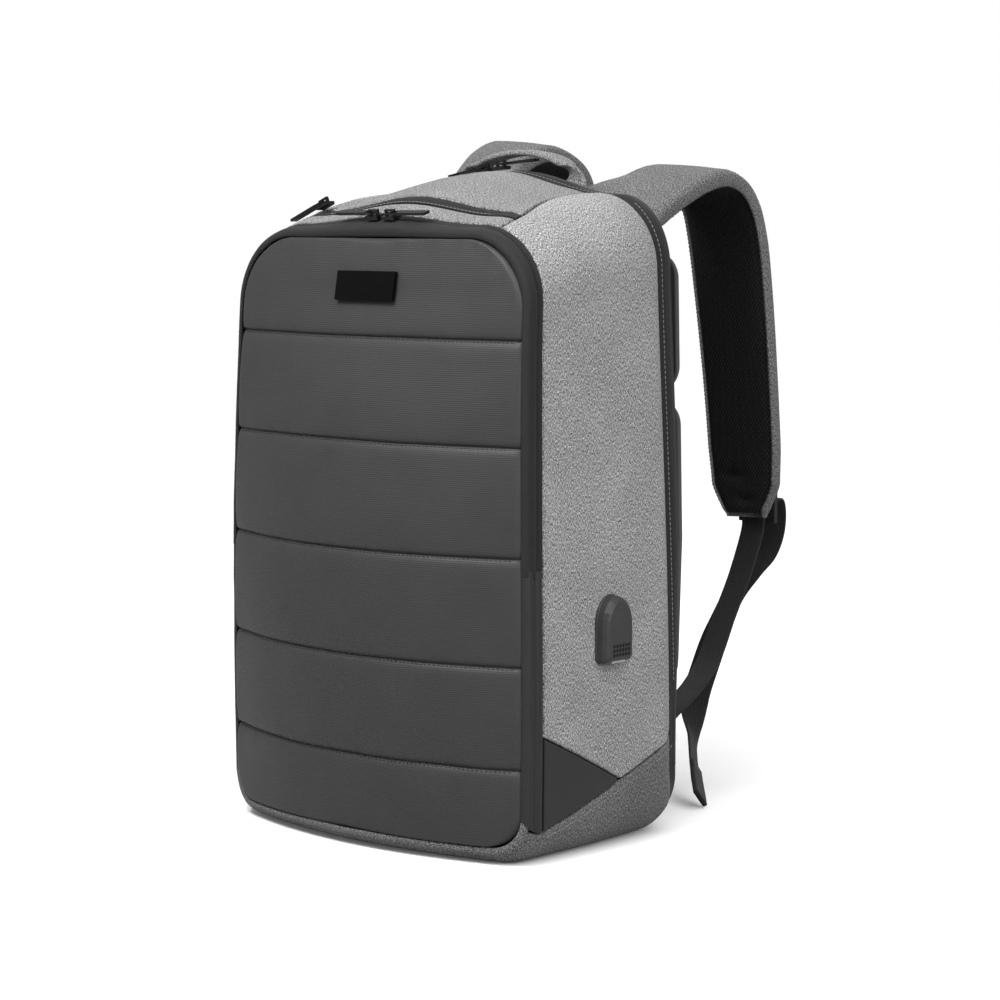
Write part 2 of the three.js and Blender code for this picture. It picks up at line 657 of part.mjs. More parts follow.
// the pads are sewn along a sloping line, so each starts with its outer edge low
const strapRoll = (u, right) => {
  const k = clamp(1 - u / 0.38, 0, 1);
  return right ? 0.27 * k * k * (3 - 2 * k) : 0.3 * k * k - 0.13 * Math.sin(Math.PI * clamp(u / 0.7, 0, 1));
};
const STRAP_FOLD = 13; // the pad bends here, just above the seam in the yoke
const STRAP_GAP = 5;
const strapWidth = (u) => table([0, 0.12, 0.45, 0.85, 0.93, 1], [58, 60, 66, 60, 56, 34], u);
const ANCHOR = { right: [106, 94.5, 66], left: [-106, 94.5, 66] };
for (const [name, pts] of Object.entries(STRAPS)) {
  const k = name === "right" ? 1 : -1;
  const side = () => [1, 0, 0];
  const curve = new THREE.CatmullRomCurve3(pts.map((p) => new THREE.Vector3(...p)), false, "centripetal");
  const layer = (trim, n0, n1, u0, u1, steps) => {
    const at = (i, b, n) => {
      const a = lerp(u0, u1, i);
      const p = curve.getPointAt(a).toArray(),
        T = curve.getTangentAt(a).toArray();
      const roll = strapRoll(a, k > 0);
      const W0 = [Math.cos(roll), 0, -k * Math.sin(roll)];
      const W = unit(add(W0, T, -dot(W0, T)));
      const N = unit(cross(T, W));
      return add(add(p, W, (b - 0.5) * (strapWidth(a) - trim)), N, n);
    };
    return slab(
      (a, b) => at(a, b, n1),
      (a, b) => at(a, b, n0),
      steps,
      2,
    );
  };
  // N points to the wearer's side: the mesh is on it, the grey cover and foam on the other
  const length = curve.getLength(),
    uFold = STRAP_FOLD / length,
    uGap = STRAP_GAP / 2 / length;
  put("strap_root_" + name, layer(2, -5.6, 5.6, 0, uFold - uGap, 1), HEATHER);
  put("strap_cover_" + name, layer(0, -6.1, 1.8, uFold + uGap, 1, 30), HEATHER);
  put("strap_mesh_" + name, layer(4, 2.5, 6.1, uFold + uGap, 1, 30), MESH);
  const e = pts[pts.length - 1];
  // ladder lock lying behind the pad's end
  const L = [e[0], e[1] + 13, e[2] + 8];
  const frame = cut(
    box(-16, 16, -1.8, 1.8, -12.5, 12.5),
    box(-12, 12, -3, 3, 2.2, 8.6),
    box(-12, 12, -3, 3, -8.8, -1.6),
  );
  frame.translate(...L);
  put("ladder_lock_" + name, mergeVertices(frame, 1e-4), PLASTIC);
  // short loop sewn to the pad, round the lock's top bar
  const loop = [
    [L[0], L[1] - 3.4, L[2] + 30],
    [L[0], L[1] - 3.9, L[2] + 18],
    [L[0], L[1] - 3.6, L[2] + 10],
    [L[0], L[1] - 2.3, L[2] + 6.6],
    [L[0], L[1] + 0.2, L[2] + 5.2],
    [L[0], L[1] + 2.7, L[2] + 7],
    [L[0], L[1] + 3.6, L[2] + 11],
    [L[0], L[1] + 1.8, L[2] + 17],
    [L[0], L[1] - 0.2, L[2] + 22],
    [L[0], L[1] - 1.1, L[2] + 30],
  ];
  put("lock_loop_" + name, ribbon(loop, () => WEB_W, WEB_T, () => [1, 0, 0], 20), WEBBING);
  // webbing: from the anchor, up behind the lock's lower bar, through the lower slot, out over the middle bar, and the loose tail
  const A = ANCHOR[name],
    dx = A[0] - L[0],
    dy = A[1] - L[1],
    dz = A[2] - L[2];
  const lead =
    name === "right"
      ? [
          [A[0], A[1], A[2]],
          [A[0] + 1, 111, 76],
          [104, 140, 89],
          [97, 168, 105],
          [91, 192, 130],
          [89, 214, 160],
        ]
      : [
          [A[0], A[1], A[2]],
          [L[0] + 0.86 * dx, L[1] + 0.84 * dy, L[2] + 0.86 * dz],
          [L[0] + 0.55 * dx, L[1] - 2 + 0.54 * dy, L[2] + 0.66 * dz],
          [L[0] + 0.2 * dx, L[1] - 7 + 0.16 * dy, L[2] + 0.36 * dz],
        ];
  lead.push(
    [L[0], L[1] - 6.6, L[2] - 18],
    [L[0], L[1] - 5.2, L[2] - 10.5],
    [L[0], L[1] - 2.4, L[2] - 6.2],
    [L[0], L[1] + 1.2, L[2] - 4.6],
    [L[0], L[1] + 5, L[2] - 2.2],
  );
  const tail =
    name === "right"
      ? [
          [91, 243, 212],
          [91.5, 249, 212],
          [91, 253, 203],
          [89.5, 253, 186],
          [86.5, 248, 171],
          [80, 239, 158],
          [72.5, 228, 141],
          [68, 216, 117],
          [66.5, 203, 92],
          [69, 188, 70],
          [76, 175, 52],
          [87, 162, 36],
          [98, 151, 21],
          [109, 141, 8],
        ]
      : [
          [-81, 225, 220],
          [-84, 229, 227],
          [-91, 234, 223],
          [-97, 232, 204],
          [-98, 224, 176],
          [-99, 212, 146],
          [-101, 199, 116],
          [-103, 188, 86],
          [-104, 180, 56],
          [-105, 174, 30],
          [-106, 170, 9],
        ];
  // the loose end turns as it hangs
  const smooth = (x) => x * x * (3 - 2 * x);
  const twist = (u) => {
    const a = name === "right" ? 0.72 * smooth(clamp((u - 0.66) / 0.1, 0, 1)) + 1.35 * smooth(clamp((u - 0.8) / 0.1, 0, 1)) : 0;
    return [Math.cos(a), Math.sin(a), 0];
  };
  put(
    "webbing_" + name,
    ribbon([...lead, ...tail], () => WEB_W, WEB_T, twist, 64),
    WEBBING,
  );
  // anchor tab: a sewn triangle of fabric at the lower corner of the back panel
  put(
    "anchor_tab_" + name,
    leaned(
      plateXZ(
      [
        [k * 88, 50],
        [k * 128, 50],
        [k * 128, 70],
      ],
        84.3,
        87.3,
      ),
    ),
    HEATHER,
  );
}

// ---------------------------------------------------------------- USB port on the right side
{
  const yc = -1.5,
    w = 14.3,
    z0 = 128,
    zMid = 152,
    h = 19.5;
  const xs = S(tOfZ(150, 0.5), 0.5)[0]; // face of the side panel
  const X0 = xs + 1.4,
    DEPTH = 9;
  const pts = (g) => {
    const out = [
      [yc - w + g + 2, z0 + g],
      [yc + w - g - 2, z0 + g],
      [yc + w - g, z0 + g + 2],
    ];
    for (let i = 0; i <= 12; i++) {
      const a = (i / 12) * Math.PI;
      out.push([yc + (w - g) * Math.cos(a), zMid + (h - g) * Math.sin(a)]);
    }
    out.push([yc - w + g, z0 + g + 2]);
    return out;
  };
  const n = pts(0).length;
  const ringAt = (g, x) => pts(g).map(([y, z]) => [x, y, z]);
  const rings = [ringAt(0, X0), ringAt(0, X0 + DEPTH * 0.55), ringAt(1.2, X0 + DEPTH * 0.85), ringAt(3.2, X0 + DEPTH)];
  const v = rings.flat(),
    t = [];
  for (let r = 0; r < rings.length - 1; r++)
    for (let i = 0; i < n; i++) {
      const a = r * n + i,
        b = r * n + ((i + 1) % n);
      t.push(a, b, b + n, a, b + n, a + n);
    }
  for (const [r, f] of [
    [0, 1],
    [rings.length - 1, -1],
  ]) {
    const c = v.length;
    v.push([rings[r][0][0], yc, zMid - 4]);
    for (let i = 0; i < n; i++) {
      const a = r * n + i,
        b = r * n + ((i + 1) % n);
      if (f > 0) t.push(c, b, a);
      else t.push(c, a, b);
    }
  }
  if (volumeOf(v, t) < 0) for (let i = 0; i < t.length; i += 3) [t[i + 1], t[i + 2]] = [t[i + 2], t[i + 1]];
  const sx = X0 + 4.2; // socket centre
  put(
    "usb_hood",
    cut(geometryOf(v, t), box(sx - 3.4, sx + 3.0, yc - 7.2, yc + 7.2, z0 - 5, z0 + 16.4)),
    PLASTIC,
  );
  put(
    "usb_socket_shell",
    cut(box(sx - 2.9, sx + 2.5, yc - 6.7, yc + 6.7, z0 - 0.4, z0 + 15.8), box(sx - 2.3, sx + 1.9, yc - 6.1, yc + 6.1, z0 - 2, z0 + 13)),
    STEEL,
  );
  put("usb_socket_tongue", box(sx - 1.9, sx - 0.3, yc - 5.4, yc + 5.4, z0 + 2.2, z0 + 12.6), PLASTIC);
  // clamp plate inside the shell, behind the hood
  put("usb_backplate", box(xs - 8.5, xs - 6.2, yc - 23, yc + 23, z0 - 5, zMid + h + 5), PLASTIC);
  put("usb_lead_gland", box(xs - 16, xs - 8.9, yc - 5, yc + 5, z0 + 4, z0 + 12), PLASTIC);
}

export default group;
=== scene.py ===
"""Looks of a heather grey laptop backpack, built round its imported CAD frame. Lengths are in mm until a mesh is made."""

import math

import bmesh
import bpy
import numpy as np
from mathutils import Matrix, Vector


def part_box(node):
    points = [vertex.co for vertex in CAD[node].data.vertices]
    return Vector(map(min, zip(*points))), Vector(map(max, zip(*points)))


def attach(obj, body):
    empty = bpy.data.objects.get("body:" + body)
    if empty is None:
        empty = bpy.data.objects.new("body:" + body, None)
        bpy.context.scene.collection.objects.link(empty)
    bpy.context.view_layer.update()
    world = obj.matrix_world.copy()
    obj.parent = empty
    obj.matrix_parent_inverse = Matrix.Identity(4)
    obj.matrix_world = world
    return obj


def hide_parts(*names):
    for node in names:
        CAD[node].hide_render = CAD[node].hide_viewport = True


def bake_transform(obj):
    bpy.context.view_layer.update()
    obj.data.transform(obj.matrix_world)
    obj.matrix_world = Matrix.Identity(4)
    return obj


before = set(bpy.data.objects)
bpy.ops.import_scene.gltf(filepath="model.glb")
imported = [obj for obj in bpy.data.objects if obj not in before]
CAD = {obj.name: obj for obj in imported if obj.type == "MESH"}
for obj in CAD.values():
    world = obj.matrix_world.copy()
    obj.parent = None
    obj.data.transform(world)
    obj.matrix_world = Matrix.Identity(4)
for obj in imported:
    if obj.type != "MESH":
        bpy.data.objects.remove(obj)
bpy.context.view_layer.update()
SCENE = bpy.context.scene
RNG = np.random.default_rng(7)
PI = math.pi

# ------------------------------------------------------------------ camera
AZ, PITCH = math.radians(41.65), math.radians(5.98)
cam_data = bpy.data.cameras.new("camera")
cam = bpy.data.objects.new("camera", cam_data)
SCENE.collection.objects.link(cam)
cam_data.lens, cam_data.sensor_width = 101.23, 36.0
cam_data.clip_start, cam_data.clip_end = 0.05, 60
cam.location = (1.3051, -1.4159, 0.4259)
cam.rotation_mode = "QUATERNION"
cam.rotation_quaternion = Vector(
    (-math.sin(AZ) * math.cos(PITCH), math.cos(AZ) * math.cos(PITCH), -math.sin(PITCH))
).to_track_quat("-Z", "Y")
SCENE.camera = cam

# ------------------------------------------------------------------ the bag's form, as in the CAD source
BACK_Y, LEAN, LEAN_Z = 66.0, 0.03, 200.0
FRONT_TOP, BACK_TOP, BACK_CROWN = 408.0, 434.0, 16.0
W_FRONT, W_MID, W_BACK = 136.0, 146.5, 143.0
CORNER_Z, FLAP_Z, HINGE_Z = 50.0, 188.0, 42.0
T1, T2, T3, T4 = 0.17, 0.24, 0.75, 0.86
S0, ZIP_A, ZIP_B = 0.112, 0.238, 0.308
SEAMS = (64.0, 131.0, 201.0, 272.0, 340.0)


def lerp(a, b, t):
    return a + (b - a) * t


def clamp(v, a, b):
    return np.minimum(b, np.maximum(a, v))


def smooth(x):
    x = clamp(x, 0.0, 1.0)
    return x * x * (3 - 2 * x)


def table(xs, ys, x):
    xs, ys = np.asarray(xs, float), np.asarray(ys, float)
    x = np.asarray(x, float)
    i = np.clip(np.searchsorted(xs, x), 1, len(xs) - 1)
    t = clamp((x - xs[i - 1]) / (xs[i] - xs[i - 1]), 0.0, 1.0)
    return lerp(ys[i - 1], ys[i], t * t * (3 - 2 * t) * 0.5 + t * 0.5)


def lean_at(z):
    return -78 + 9 * clamp((z - 180) / 230, 0.0, 1.05) ** 1.6


def back_y(z):
    return BACK_Y - LEAN * (z - LEAN_Z)


def bow_at(z):
    return table([0, 64, 131, 201, 272, 340, 373, 410], [27, 31, 33, 31, 25, 15, 9, 5], z)


def front_y(x, z):
    return lean_at(z) - bow_at(z) * (1 - np.minimum(1, (x / 136) ** 2))


def draw_in(z, d):
    return 1 - (lerp(0.8, 0.45, clamp((z - 60) / 140, 0.0, 1.0)) * np.maximum(0, d)) / W_BACK


def section(s):
    wb = W_FRONT * (1 - s) ** 2 + 2 * s * (1 - s) * W_MID + W_BACK * s * s
    wt = 133 * (1 - s) ** 2 + 2 * s * (1 - s) * 138 + 138 * s * s
    cx = np.where(s < 0.3, lerp(50, 56, s / 0.3), lerp(56, 44, (s - 0.3) / 0.7))
    zb = np.where(s < 0.12, 9 * (1 - np.minimum(s, 0.12) / 0.12) ** 2, np.where(s > 0.9, 6 * ((s - 0.9) / 0.1) ** 2, 0.0))
    rb = lerp(24, 34, s)
    zt = FRONT_TOP + (BACK_TOP - FRONT_TOP) * (1 - (1 - s) ** 2.33)
    crown = BACK_CROWN * np.maximum(s, 0) ** 0.45
    return wb, wt, zb, rb, zt, crown, cx


def outline(t, s):
    wb, wt, zb, rb, zt, crown, cx = section(s)
    a2 = (t - T1) / (T2 - T1) * PI / 2
    k = (t - T2) / (T3 - T2)
    a4 = (t - T3) / (T4 - T3) * PI / 2
    xc = wt - cx
    x5 = xc * (1 - (t - T4) / (1 - T4))
    conds = [t <= T1, t <= T2, t <= T3, t <= T4]
    x = np.select(
        conds,
        [(wb - rb) * t / T1, wb - rb + rb * np.sin(a2), lerp(wb, wt, k * k * (3 - 2 * k)) + 2 * np.sin(PI * k), wt - cx + cx * np.cos(a4)],
        x5,
    )
    z = np.select(
        conds,
        [zb + 0 * t, zb + rb - rb * np.cos(a2), lerp(zb + rb, zt - CORNER_Z, k), zt - CORNER_Z + CORNER_Z * np.sin(a4)],
        zt + crown * 0.5 * (1 + np.cos(PI * x5 / xc)),
    )
    return x, z


def S(t, s):
    t, s = np.broadcast_arrays(np.asarray(t, float), np.asarray(s, float))
    side = np.where((t > 1) | (t < 0), -1.0, 1.0)
    t = np.where(t > 1, 2 - t, np.where(t < 0, -t, t))
    sc = clamp(s, 0.0, 1.0)
    x, z = outline(t, sc)
    f = front_y(x, z)
    y = f + (back_y(z) - f) * sc
    y = y + np.where(s > 1, (s - 1) * 100, 0) + np.where(s < 0, s * 100, 0)
    return np.stack([side * x * draw_in(z, (s - 1) * 100), y, z], -1)


def unit(a):
    return a / (np.linalg.norm(a, axis=-1, keepdims=True) + 1e-12)


def normal_s(t, s):
    e = 1e-3
    n = unit(np.cross(S(t + e, s) - S(t - e, s), S(t, np.minimum(s + e, 1.3)) - S(t, s - e)))
    p = S(t, s)
    flip = (n[..., 0] * p[..., 0] + n[..., 2] * (p[..., 2] - 215)) < 0
    return np.where(flip[..., None], -n, n)


def t_of_z(z, s):
    wb, wt, zb, rb, zt, crown, cx = section(np.clip(np.asarray(s, float), 0, 1))
    return T2 + ((z - zb - rb) / (zt - CORNER_Z - zb - rb)) * (T3 - T2)


def t_seam(s):
    return 0.228 + 0.06 * s


def t_patch(s):
    return lerp(0.328, t_seam(0.6), clamp((s - 0.115) / 0.485, 0.0, 1.0))


def t_top(s):
    return 0.84 + 0.045 * clamp((s - 0.3) / 0.7, 0.0, 1.0)


# smooth value noise on a 2-D plane, the same at every run
_LAT = RNG.random((64, 64)) * 2 - 1


def noise2(u, v, step):
    u, v = np.asarray(u, float) / step, np.asarray(v, float) / step
    iu, iv = np.floor(u).astype(int), np.floor(v).astype(int)
    fu, fv = u - iu, v - iv
    fu, fv = fu * fu * (3 - 2 * fu), fv * fv * (3 - 2 * fv)

    def at(i, j):
        return _LAT[i % 64, j % 64]

    return lerp(lerp(at(iu, iv), at(iu + 1, iv), fu), lerp(at(iu, iv + 1), at(iu + 1, iv + 1), fu), fv)


def ripple(u, v, step, amp):
    return amp * (noise2(u, v, step) + 0.5 * noise2(u + 31, v + 17, step / 2.1))


# ------------------------------------------------------------------ materials
MATS = {}


class Mat:
    def __init__(self, name, colour, rough, metal=0.0, sheen=0.0, spec=0.5, coat=0.0):
        self.m = bpy.data.materials.new(name)
        self.m.use_nodes = True
        self.nt = self.m.node_tree
        self.b = self.nt.nodes["Principled BSDF"]
        self.b.inputs["Base Color"].default_value = (*colour, 1)
        self.b.inputs["Roughness"].default_value = rough
        self.b.inputs["Metallic"].default_value = metal
        self.b.inputs["Sheen Weight"].default_value = sheen
        self.b.inputs["Sheen Roughness"].default_value = 0.45
        self.b.inputs["Specular IOR Level"].default_value = spec
        self.b.inputs["Coat Weight"].default_value = coat
        self.bumps = []
        MATS[name] = self.m

    def node(self, kind, **values):
        n = self.nt.nodes.new(kind)
        for k, v in values.items():
            if k.startswith("p_"):
                setattr(n, k[2:], v)
        for k, v in values.items():
            if not k.startswith("p_"):
                self.put(n, k, v)
        return n

    def put(self, n, k, v):
        key = k if not k.startswith("i") or not k[1:].isdigit() else int(k[1:])
        if isinstance(key, str):
            key = key.replace("_", " ")
        if isinstance(v, bpy.types.NodeSocket):
            self.nt.links.new(v, n.inputs[key])
        else:
            n.inputs[key].default_value = v

    def math(self, op, a, b=0.0, c=0.0):
        return self.node("ShaderNodeMath", p_operation=op, i0=a, i1=b, i2=c).outputs[0]

    def uv(self):
        n = self.node("ShaderNodeTexCoord")
        return self.node("ShaderNodeSeparateXYZ", i0=n.outputs["UV"])

    def obj(self):
        n = self.node("ShaderNodeTexCoord")
        return self.node("ShaderNodeVectorMath", p_operation="SCALE", i0=n.outputs["Object"], Scale=1000.0).outputs[0]

    def vec(self, u, v, w=0.0):
        return self.node("ShaderNodeCombineXYZ", i0=u, i1=v, i2=w).outputs[0]

    def noise(self, vec, scale, detail=2.0, rough=0.5):
        return self.node("ShaderNodeTexNoise", Vector=vec, Scale=scale, Detail=detail, Roughness=rough).outputs["Fac"]

    def ramp(self, fac, stops):
        n = self.node("ShaderNodeValToRGB", i0=fac)
        e = n.color_ramp.elements
        while len(e) < len(stops):
            e.new(0.5)
        for el, (p, c) in zip(e, stops):
            el.position = p
            el.color = (c, c, c, 1) if not isinstance(c, tuple) else (*c, 1)
        return n.outputs["Color"]

    def colour(self, socket):
        self.nt.links.new(socket, self.b.inputs["Base Color"])

    def rough(self, socket):
        self.nt.links.new(socket, self.b.inputs["Roughness"])

    def bump(self, height, strength, dist=0.0004):
        prev = self.bumps[-1].outputs["Normal"] if self.bumps else None
        n = self.node("ShaderNodeBump", Height=height, Strength=strength, Distance=dist)
        if prev:
            self.nt.links.new(prev, n.inputs["Normal"])
        self.bumps.append(n)
        self.nt.links.new(n.outputs["Normal"], self.b.inputs["Normal"])


def sine(m, x, period, phase=0.0):
    """0..1 wave along x"""
    return m.math("MULTIPLY_ADD", m.math("SINE", m.math("MULTIPLY_ADD", x, 2 * PI / period, phase)), 0.5, 0.5)


def heather(name, low, mid, high):
    m = Mat(name, (mid,) * 3, 0.92, sheen=0.12, spec=0.12)
    uv = m.uv()
    u, v = uv.outputs[0], uv.outputs[1]
    warp = m.noise(m.vec(m.math("MULTIPLY", u, 2.6), m.math("MULTIPLY", v, 0.6)), 1.0, 3.0, 0.7)
    weft = m.noise(m.vec(m.math("MULTIPLY", u, 0.7), m.math("MULTIPLY", v, 2.6), 9.0), 1.0, 3.0, 0.7)
    grain = m.noise(m.vec(u, v, 4.0), 2.8, 2.0, 0.7)
    wave = m.math("MULTIPLY", sine(m, u, 0.62), sine(m, v, 0.62))
    total = m.math("ADD", m.math("MULTIPLY", warp, 0.5), m.math("MULTIPLY", weft, 0.22))
    total = m.math("ADD", total, m.math("MULTIPLY", grain, 0.28))
    cloud = m.noise(m.vec(u, v, 2.0), 0.022, 1.0)
    total = m.math("ADD", total, m.math("MULTIPLY_ADD", cloud, 0.02, -0.01))
    total = m.math("ADD", total, m.math("MULTIPLY_ADD", wave, 0.05, -0.0125))
    m.colour(m.ramp(total, [(0.43, low), (0.475, mid * 0.55), (0.52, mid * 1.2), (0.565, high)]))
    m.rough(m.math("MULTIPLY_ADD", grain, 0.15, 0.83))
    m.bump(wave, 0.5, 0.00018)
    m.bump(total, 0.6, 0.0006)
    return m.m


def coated(name, base, rib=1.35):
    m = Mat(name, (base,) * 3, 0.5, sheen=0.05, spec=0.32)
    uv = m.uv()
    u, v = uv.outputs[0], uv.outputs[1]
    jitter = m.noise(m.vec(m.math("MULTIPLY", u, 0.15), v), 0.6, 2.0)
    lines = sine(m, m.math("MULTIPLY_ADD", jitter, 0.5, v), rib)
    cross = sine(m, u, 0.55)
    cloud = m.noise(m.vec(u, v, 3.0), 0.03, 3.0)
    fine = m.noise(m.vec(m.math("MULTIPLY", u, 0.5), m.math("MULTIPLY", v, 2.0), 5.0), 1.4, 2.0)
    tone = m.math("ADD", m.math("MULTIPLY", lines, 0.22), m.math("MULTIPLY", fine, 0.5))
    tone = m.math("ADD", tone, m.math("MULTIPLY", cloud, 0.28))
    m.colour(m.ramp(tone, [(0.25, base * 0.72), (0.5, base), (0.78, base * 1.28)]))
    m.rough(m.math("MULTIPLY_ADD", tone, -0.12, 0.58))
    m.bump(m.math("MULTIPLY", lines, m.math("MULTIPLY_ADD", cross, 0.35, 0.65)), 0.28, 0.0002)
    m.bump(cloud, 0.12, 0.003)
    return m.m


def band(name, base):
    m = Mat(name, (base,) * 3, 0.72, sheen=0.06, spec=0.22)
    uv = m.uv()
    u, v = uv.outputs[0], uv.outputs[1]
    a, b = sine(m, u, 0.7), sine(m, v, 0.7)
    twill = sine(m, m.math("ADD", u, v), 0.9)
    h = m.math("MULTIPLY", m.math("ADD", a, b), m.math("MULTIPLY_ADD", twill, 0.4, 0.6))
    cloud = m.noise(m.vec(u, v), 0.08, 3.0)
    m.colour(m.ramp(m.math("MULTIPLY_ADD", h, 0.3, m.math("MULTIPLY", cloud, 0.5)), [(0.2, base * 0.7), (0.75, base * 1.35)]))
    m.rough(m.math("MULTIPLY_ADD", cloud, 0.2, 0.62))
    m.bump(h, 0.3, 0.00025)
    return m.m


def webbing_mat(name, base):
    m = Mat(name, (base,) * 3, 0.62, sheen=0.08, spec=0.28)
    uv = m.uv()
    u, v = uv.outputs[0], uv.outputs[1]
    rib = sine(m, v, 1.0)
    cols = sine(m, u, 2.2)
    zig = sine(m, m.math("MULTIPLY_ADD", m.math("PINGPONG", u, 1.1), 1.0, v), 1.0)
    h = m.math("MULTIPLY", m.math("ADD", rib, zig), m.math("MULTIPLY_ADD", cols, 0.5, 0.5))
    m.colour(m.ramp(h, [(0.1, base * 0.5), (0.9, base * 1.6)]))
    m.bump(h, 0.6, 0.0004)
    return m.m


def mesh_mat(name, base):
    m = Mat(name, (base,) * 3, 0.7, sheen=0.08, spec=0.22)
    uv = m.uv()
    u, v = uv.outputs[0], uv.outputs[1]
    thread = m.math("MULTIPLY", sine(m, m.math("ADD", u, v), 0.55), sine(m, m.math("SUBTRACT", u, v), 0.55))
    hole = m.node("ShaderNodeAttribute", p_attribute_name="hole").outputs["Fac"]
    # painted shade: the holes are darkened to near black; the diagonal thread pattern is the mesh's own weave,
    # lightened towards its crests as painted highlight
    tone = m.math("SUBTRACT", m.math("MULTIPLY_ADD", thread, 0.3, 0.7), m.math("MULTIPLY", hole, 0.9))
    m.colour(m.ramp(tone, [(0.0, base * 0.06), (0.4, base * 0.5), (1.0, base * 4.2)]))
    m.rough(m.math("MULTIPLY_ADD", hole, 0.2, 0.6))
    m.bump(thread, 0.35, 0.0003)
    return m.m


def hard(name, colour, rough, metal=0.0, coat=0.0, grain=8.0, strength=0.08, wear=0.12, spec=0.28):
    m = Mat(name, colour, rough, metal, spec=spec, coat=coat)
    p = m.obj()
    n1 = m.noise(p, grain, 3.0)
    n2 = m.noise(p, 0.12, 2.0)
    c = sum(colour) / 3
    m.colour(m.ramp(m.math("MULTIPLY_ADD", n1, 0.4, m.math("MULTIPLY", n2, 0.6)), [(0.3, c * (1 - wear)), (0.7, c * (1 + wear))]))
    m.rough(m.math("MULTIPLY_ADD", n2, 0.14, rough - 0.07))
    m.bump(n1, strength, 0.0001)
    return m.m


HEATHER = heather("heather_grey", 0.02, 0.2, 0.72)
# painted shade: the same grey heather cloth, toned darker for the top panels and handle to offset the stronger light
# from above
HEATHER_TOP_PAINTED_SHADE = heather("heather_grey_top", 0.015, 0.135, 0.5)
# painted shade: the same grey heather cloth, toned darker for the shoulder strap covers to offset the light from above
HEATHER_STRAP_PAINTED_SHADE = heather("heather_grey_strap", 0.012, 0.09, 0.34)
# painted shade: the same grey heather cloth, toned darker for the base, which lies in shade
HEATHER_BASE_PAINTED_SHADE = heather("heather_grey_base", 0.012, 0.085, 0.34)
COATED = coated("coated_charcoal", 0.0295)
COATED_DARK = coated("coated_charcoal_gusset", 0.016, 1.0)
PATCH = coated("coated_charcoal_patch", 0.019, 1.0)
BAND = band("zip_tape_black", 0.013)
COIL = hard("zip_coil_nylon", (0.018,) * 3, 0.38, grain=3.0)
WEB = webbing_mat("webbing_black", 0.007)
MESH = mesh_mat("spacer_mesh_black", 0.0085)
LINING = band("lining_grey", 0.035)
METAL = hard("slider_gunmetal", (0.035,) * 3, 0.3, metal=0.85, grain=1.5, wear=0.35)
BADGE = hard("badge_black_metal", (0.0018,) * 3, 0.38, spec=0.09, metal=0.0, coat=0.0, grain=4.0, strength=0.03)
PLASTIC = hard("moulded_plastic", (0.035,) * 3, 0.42, grain=5.0, strength=0.18)
LOCK = hard("lock_plastic_black", (0.016,) * 3, 0.4, grain=5.0, strength=0.12)
STEEL = hard("connector_steel", (0.55,) * 3, 0.28, metal=1.0, grain=2.0, strength=0.03)
BOARD = hard("stiffener_board_black", (0.02,) * 3, 0.75, grain=1.2, strength=0.25)
# near-black, painted shade for the inside of the hood's vent holes
VENT_PAINTED_SHADE = hard("vent_dark", (0.003,) * 3, 0.8)
THREAD_DARK = hard("thread_black", (0.012,) * 3, 0.6, grain=2.0, strength=0.3)
THREAD_GREY = hard("thread_grey", (0.24,) * 3, 0.7, grain=2.0, strength=0.3)


# ------------------------------------------------------------------ mesh helpers
def make(name, verts, faces, material, uv=None, attrs=None, fix=True, flat=False):
    me = bpy.data.meshes.new(name)
    me.from_pydata((np.asarray(verts, float).reshape(-1, 3) * 0.001).tolist(), [], [tuple(int(i) for i in f) for f in faces])
    if uv is not None:
        layer = me.uv_layers.new(name="UVMap")
        idx = np.zeros(len(me.loops), np.int32)
        me.loops.foreach_get("vertex_index", idx)
        layer.data.foreach_set("uv", np.asarray(uv, np.float32).reshape(-1, 2)[idx].ravel())
    for key, val in (attrs or {}).items():
        a = me.attributes.new(key, "FLOAT", "POINT")
        a.data.foreach_set("value", np.asarray(val, np.float32).ravel())
    if fix:
        bm = bmesh.new()
        bm.from_mesh(me)
        bmesh.ops.recalc_face_normals(bm, faces=bm.faces)
        bm.to_mesh(me)
        bm.free()
    if not flat:
        me.polygons.foreach_set("use_smooth", [True] * len(me.polygons))
    me.materials.append(material)
    me.update()
    o = bpy.data.objects.new(name, me)
    SCENE.collection.objects.link(o)
    return o


def arc(P, axis):
    d = np.linalg.norm(np.diff(P, axis=axis), axis=-1)
    c = np.cumsum(d, axis=axis)
    z = np.zeros_like(np.take(c, [0], axis=axis))
    return np.concatenate([z, c], axis=axis)


def edge_dist(P):
    U, V = arc(P, 0), arc(P, 1)
    return np.minimum(np.minimum(U, U[-1:] - U), np.minimum(V, V[:, -1:] - V)), U, V


def spaced(n, length, r):
    """parameters from 0 to 1, denser near both ends, for a run of that length and an edge radius r"""
    e = np.array([0, 0.08, 0.22, 0.42, 0.68, 1.0, 1.5]) * r / length
    mid = np.linspace(0, 1, n + 1)
    mid = mid[(mid > e[-1] * 1.3) & (mid < 1 - e[-1] * 1.3)]
    return np.concatenate([e, mid, 1 - e[::-1]])


def tuck(dist, r):
    """how deep a rounded edge lies below the face"""
    q = clamp(1 - dist / r, 0.0, 1.0)
    return r * (1 - np.sqrt(np.maximum(0, 1 - q * q)))


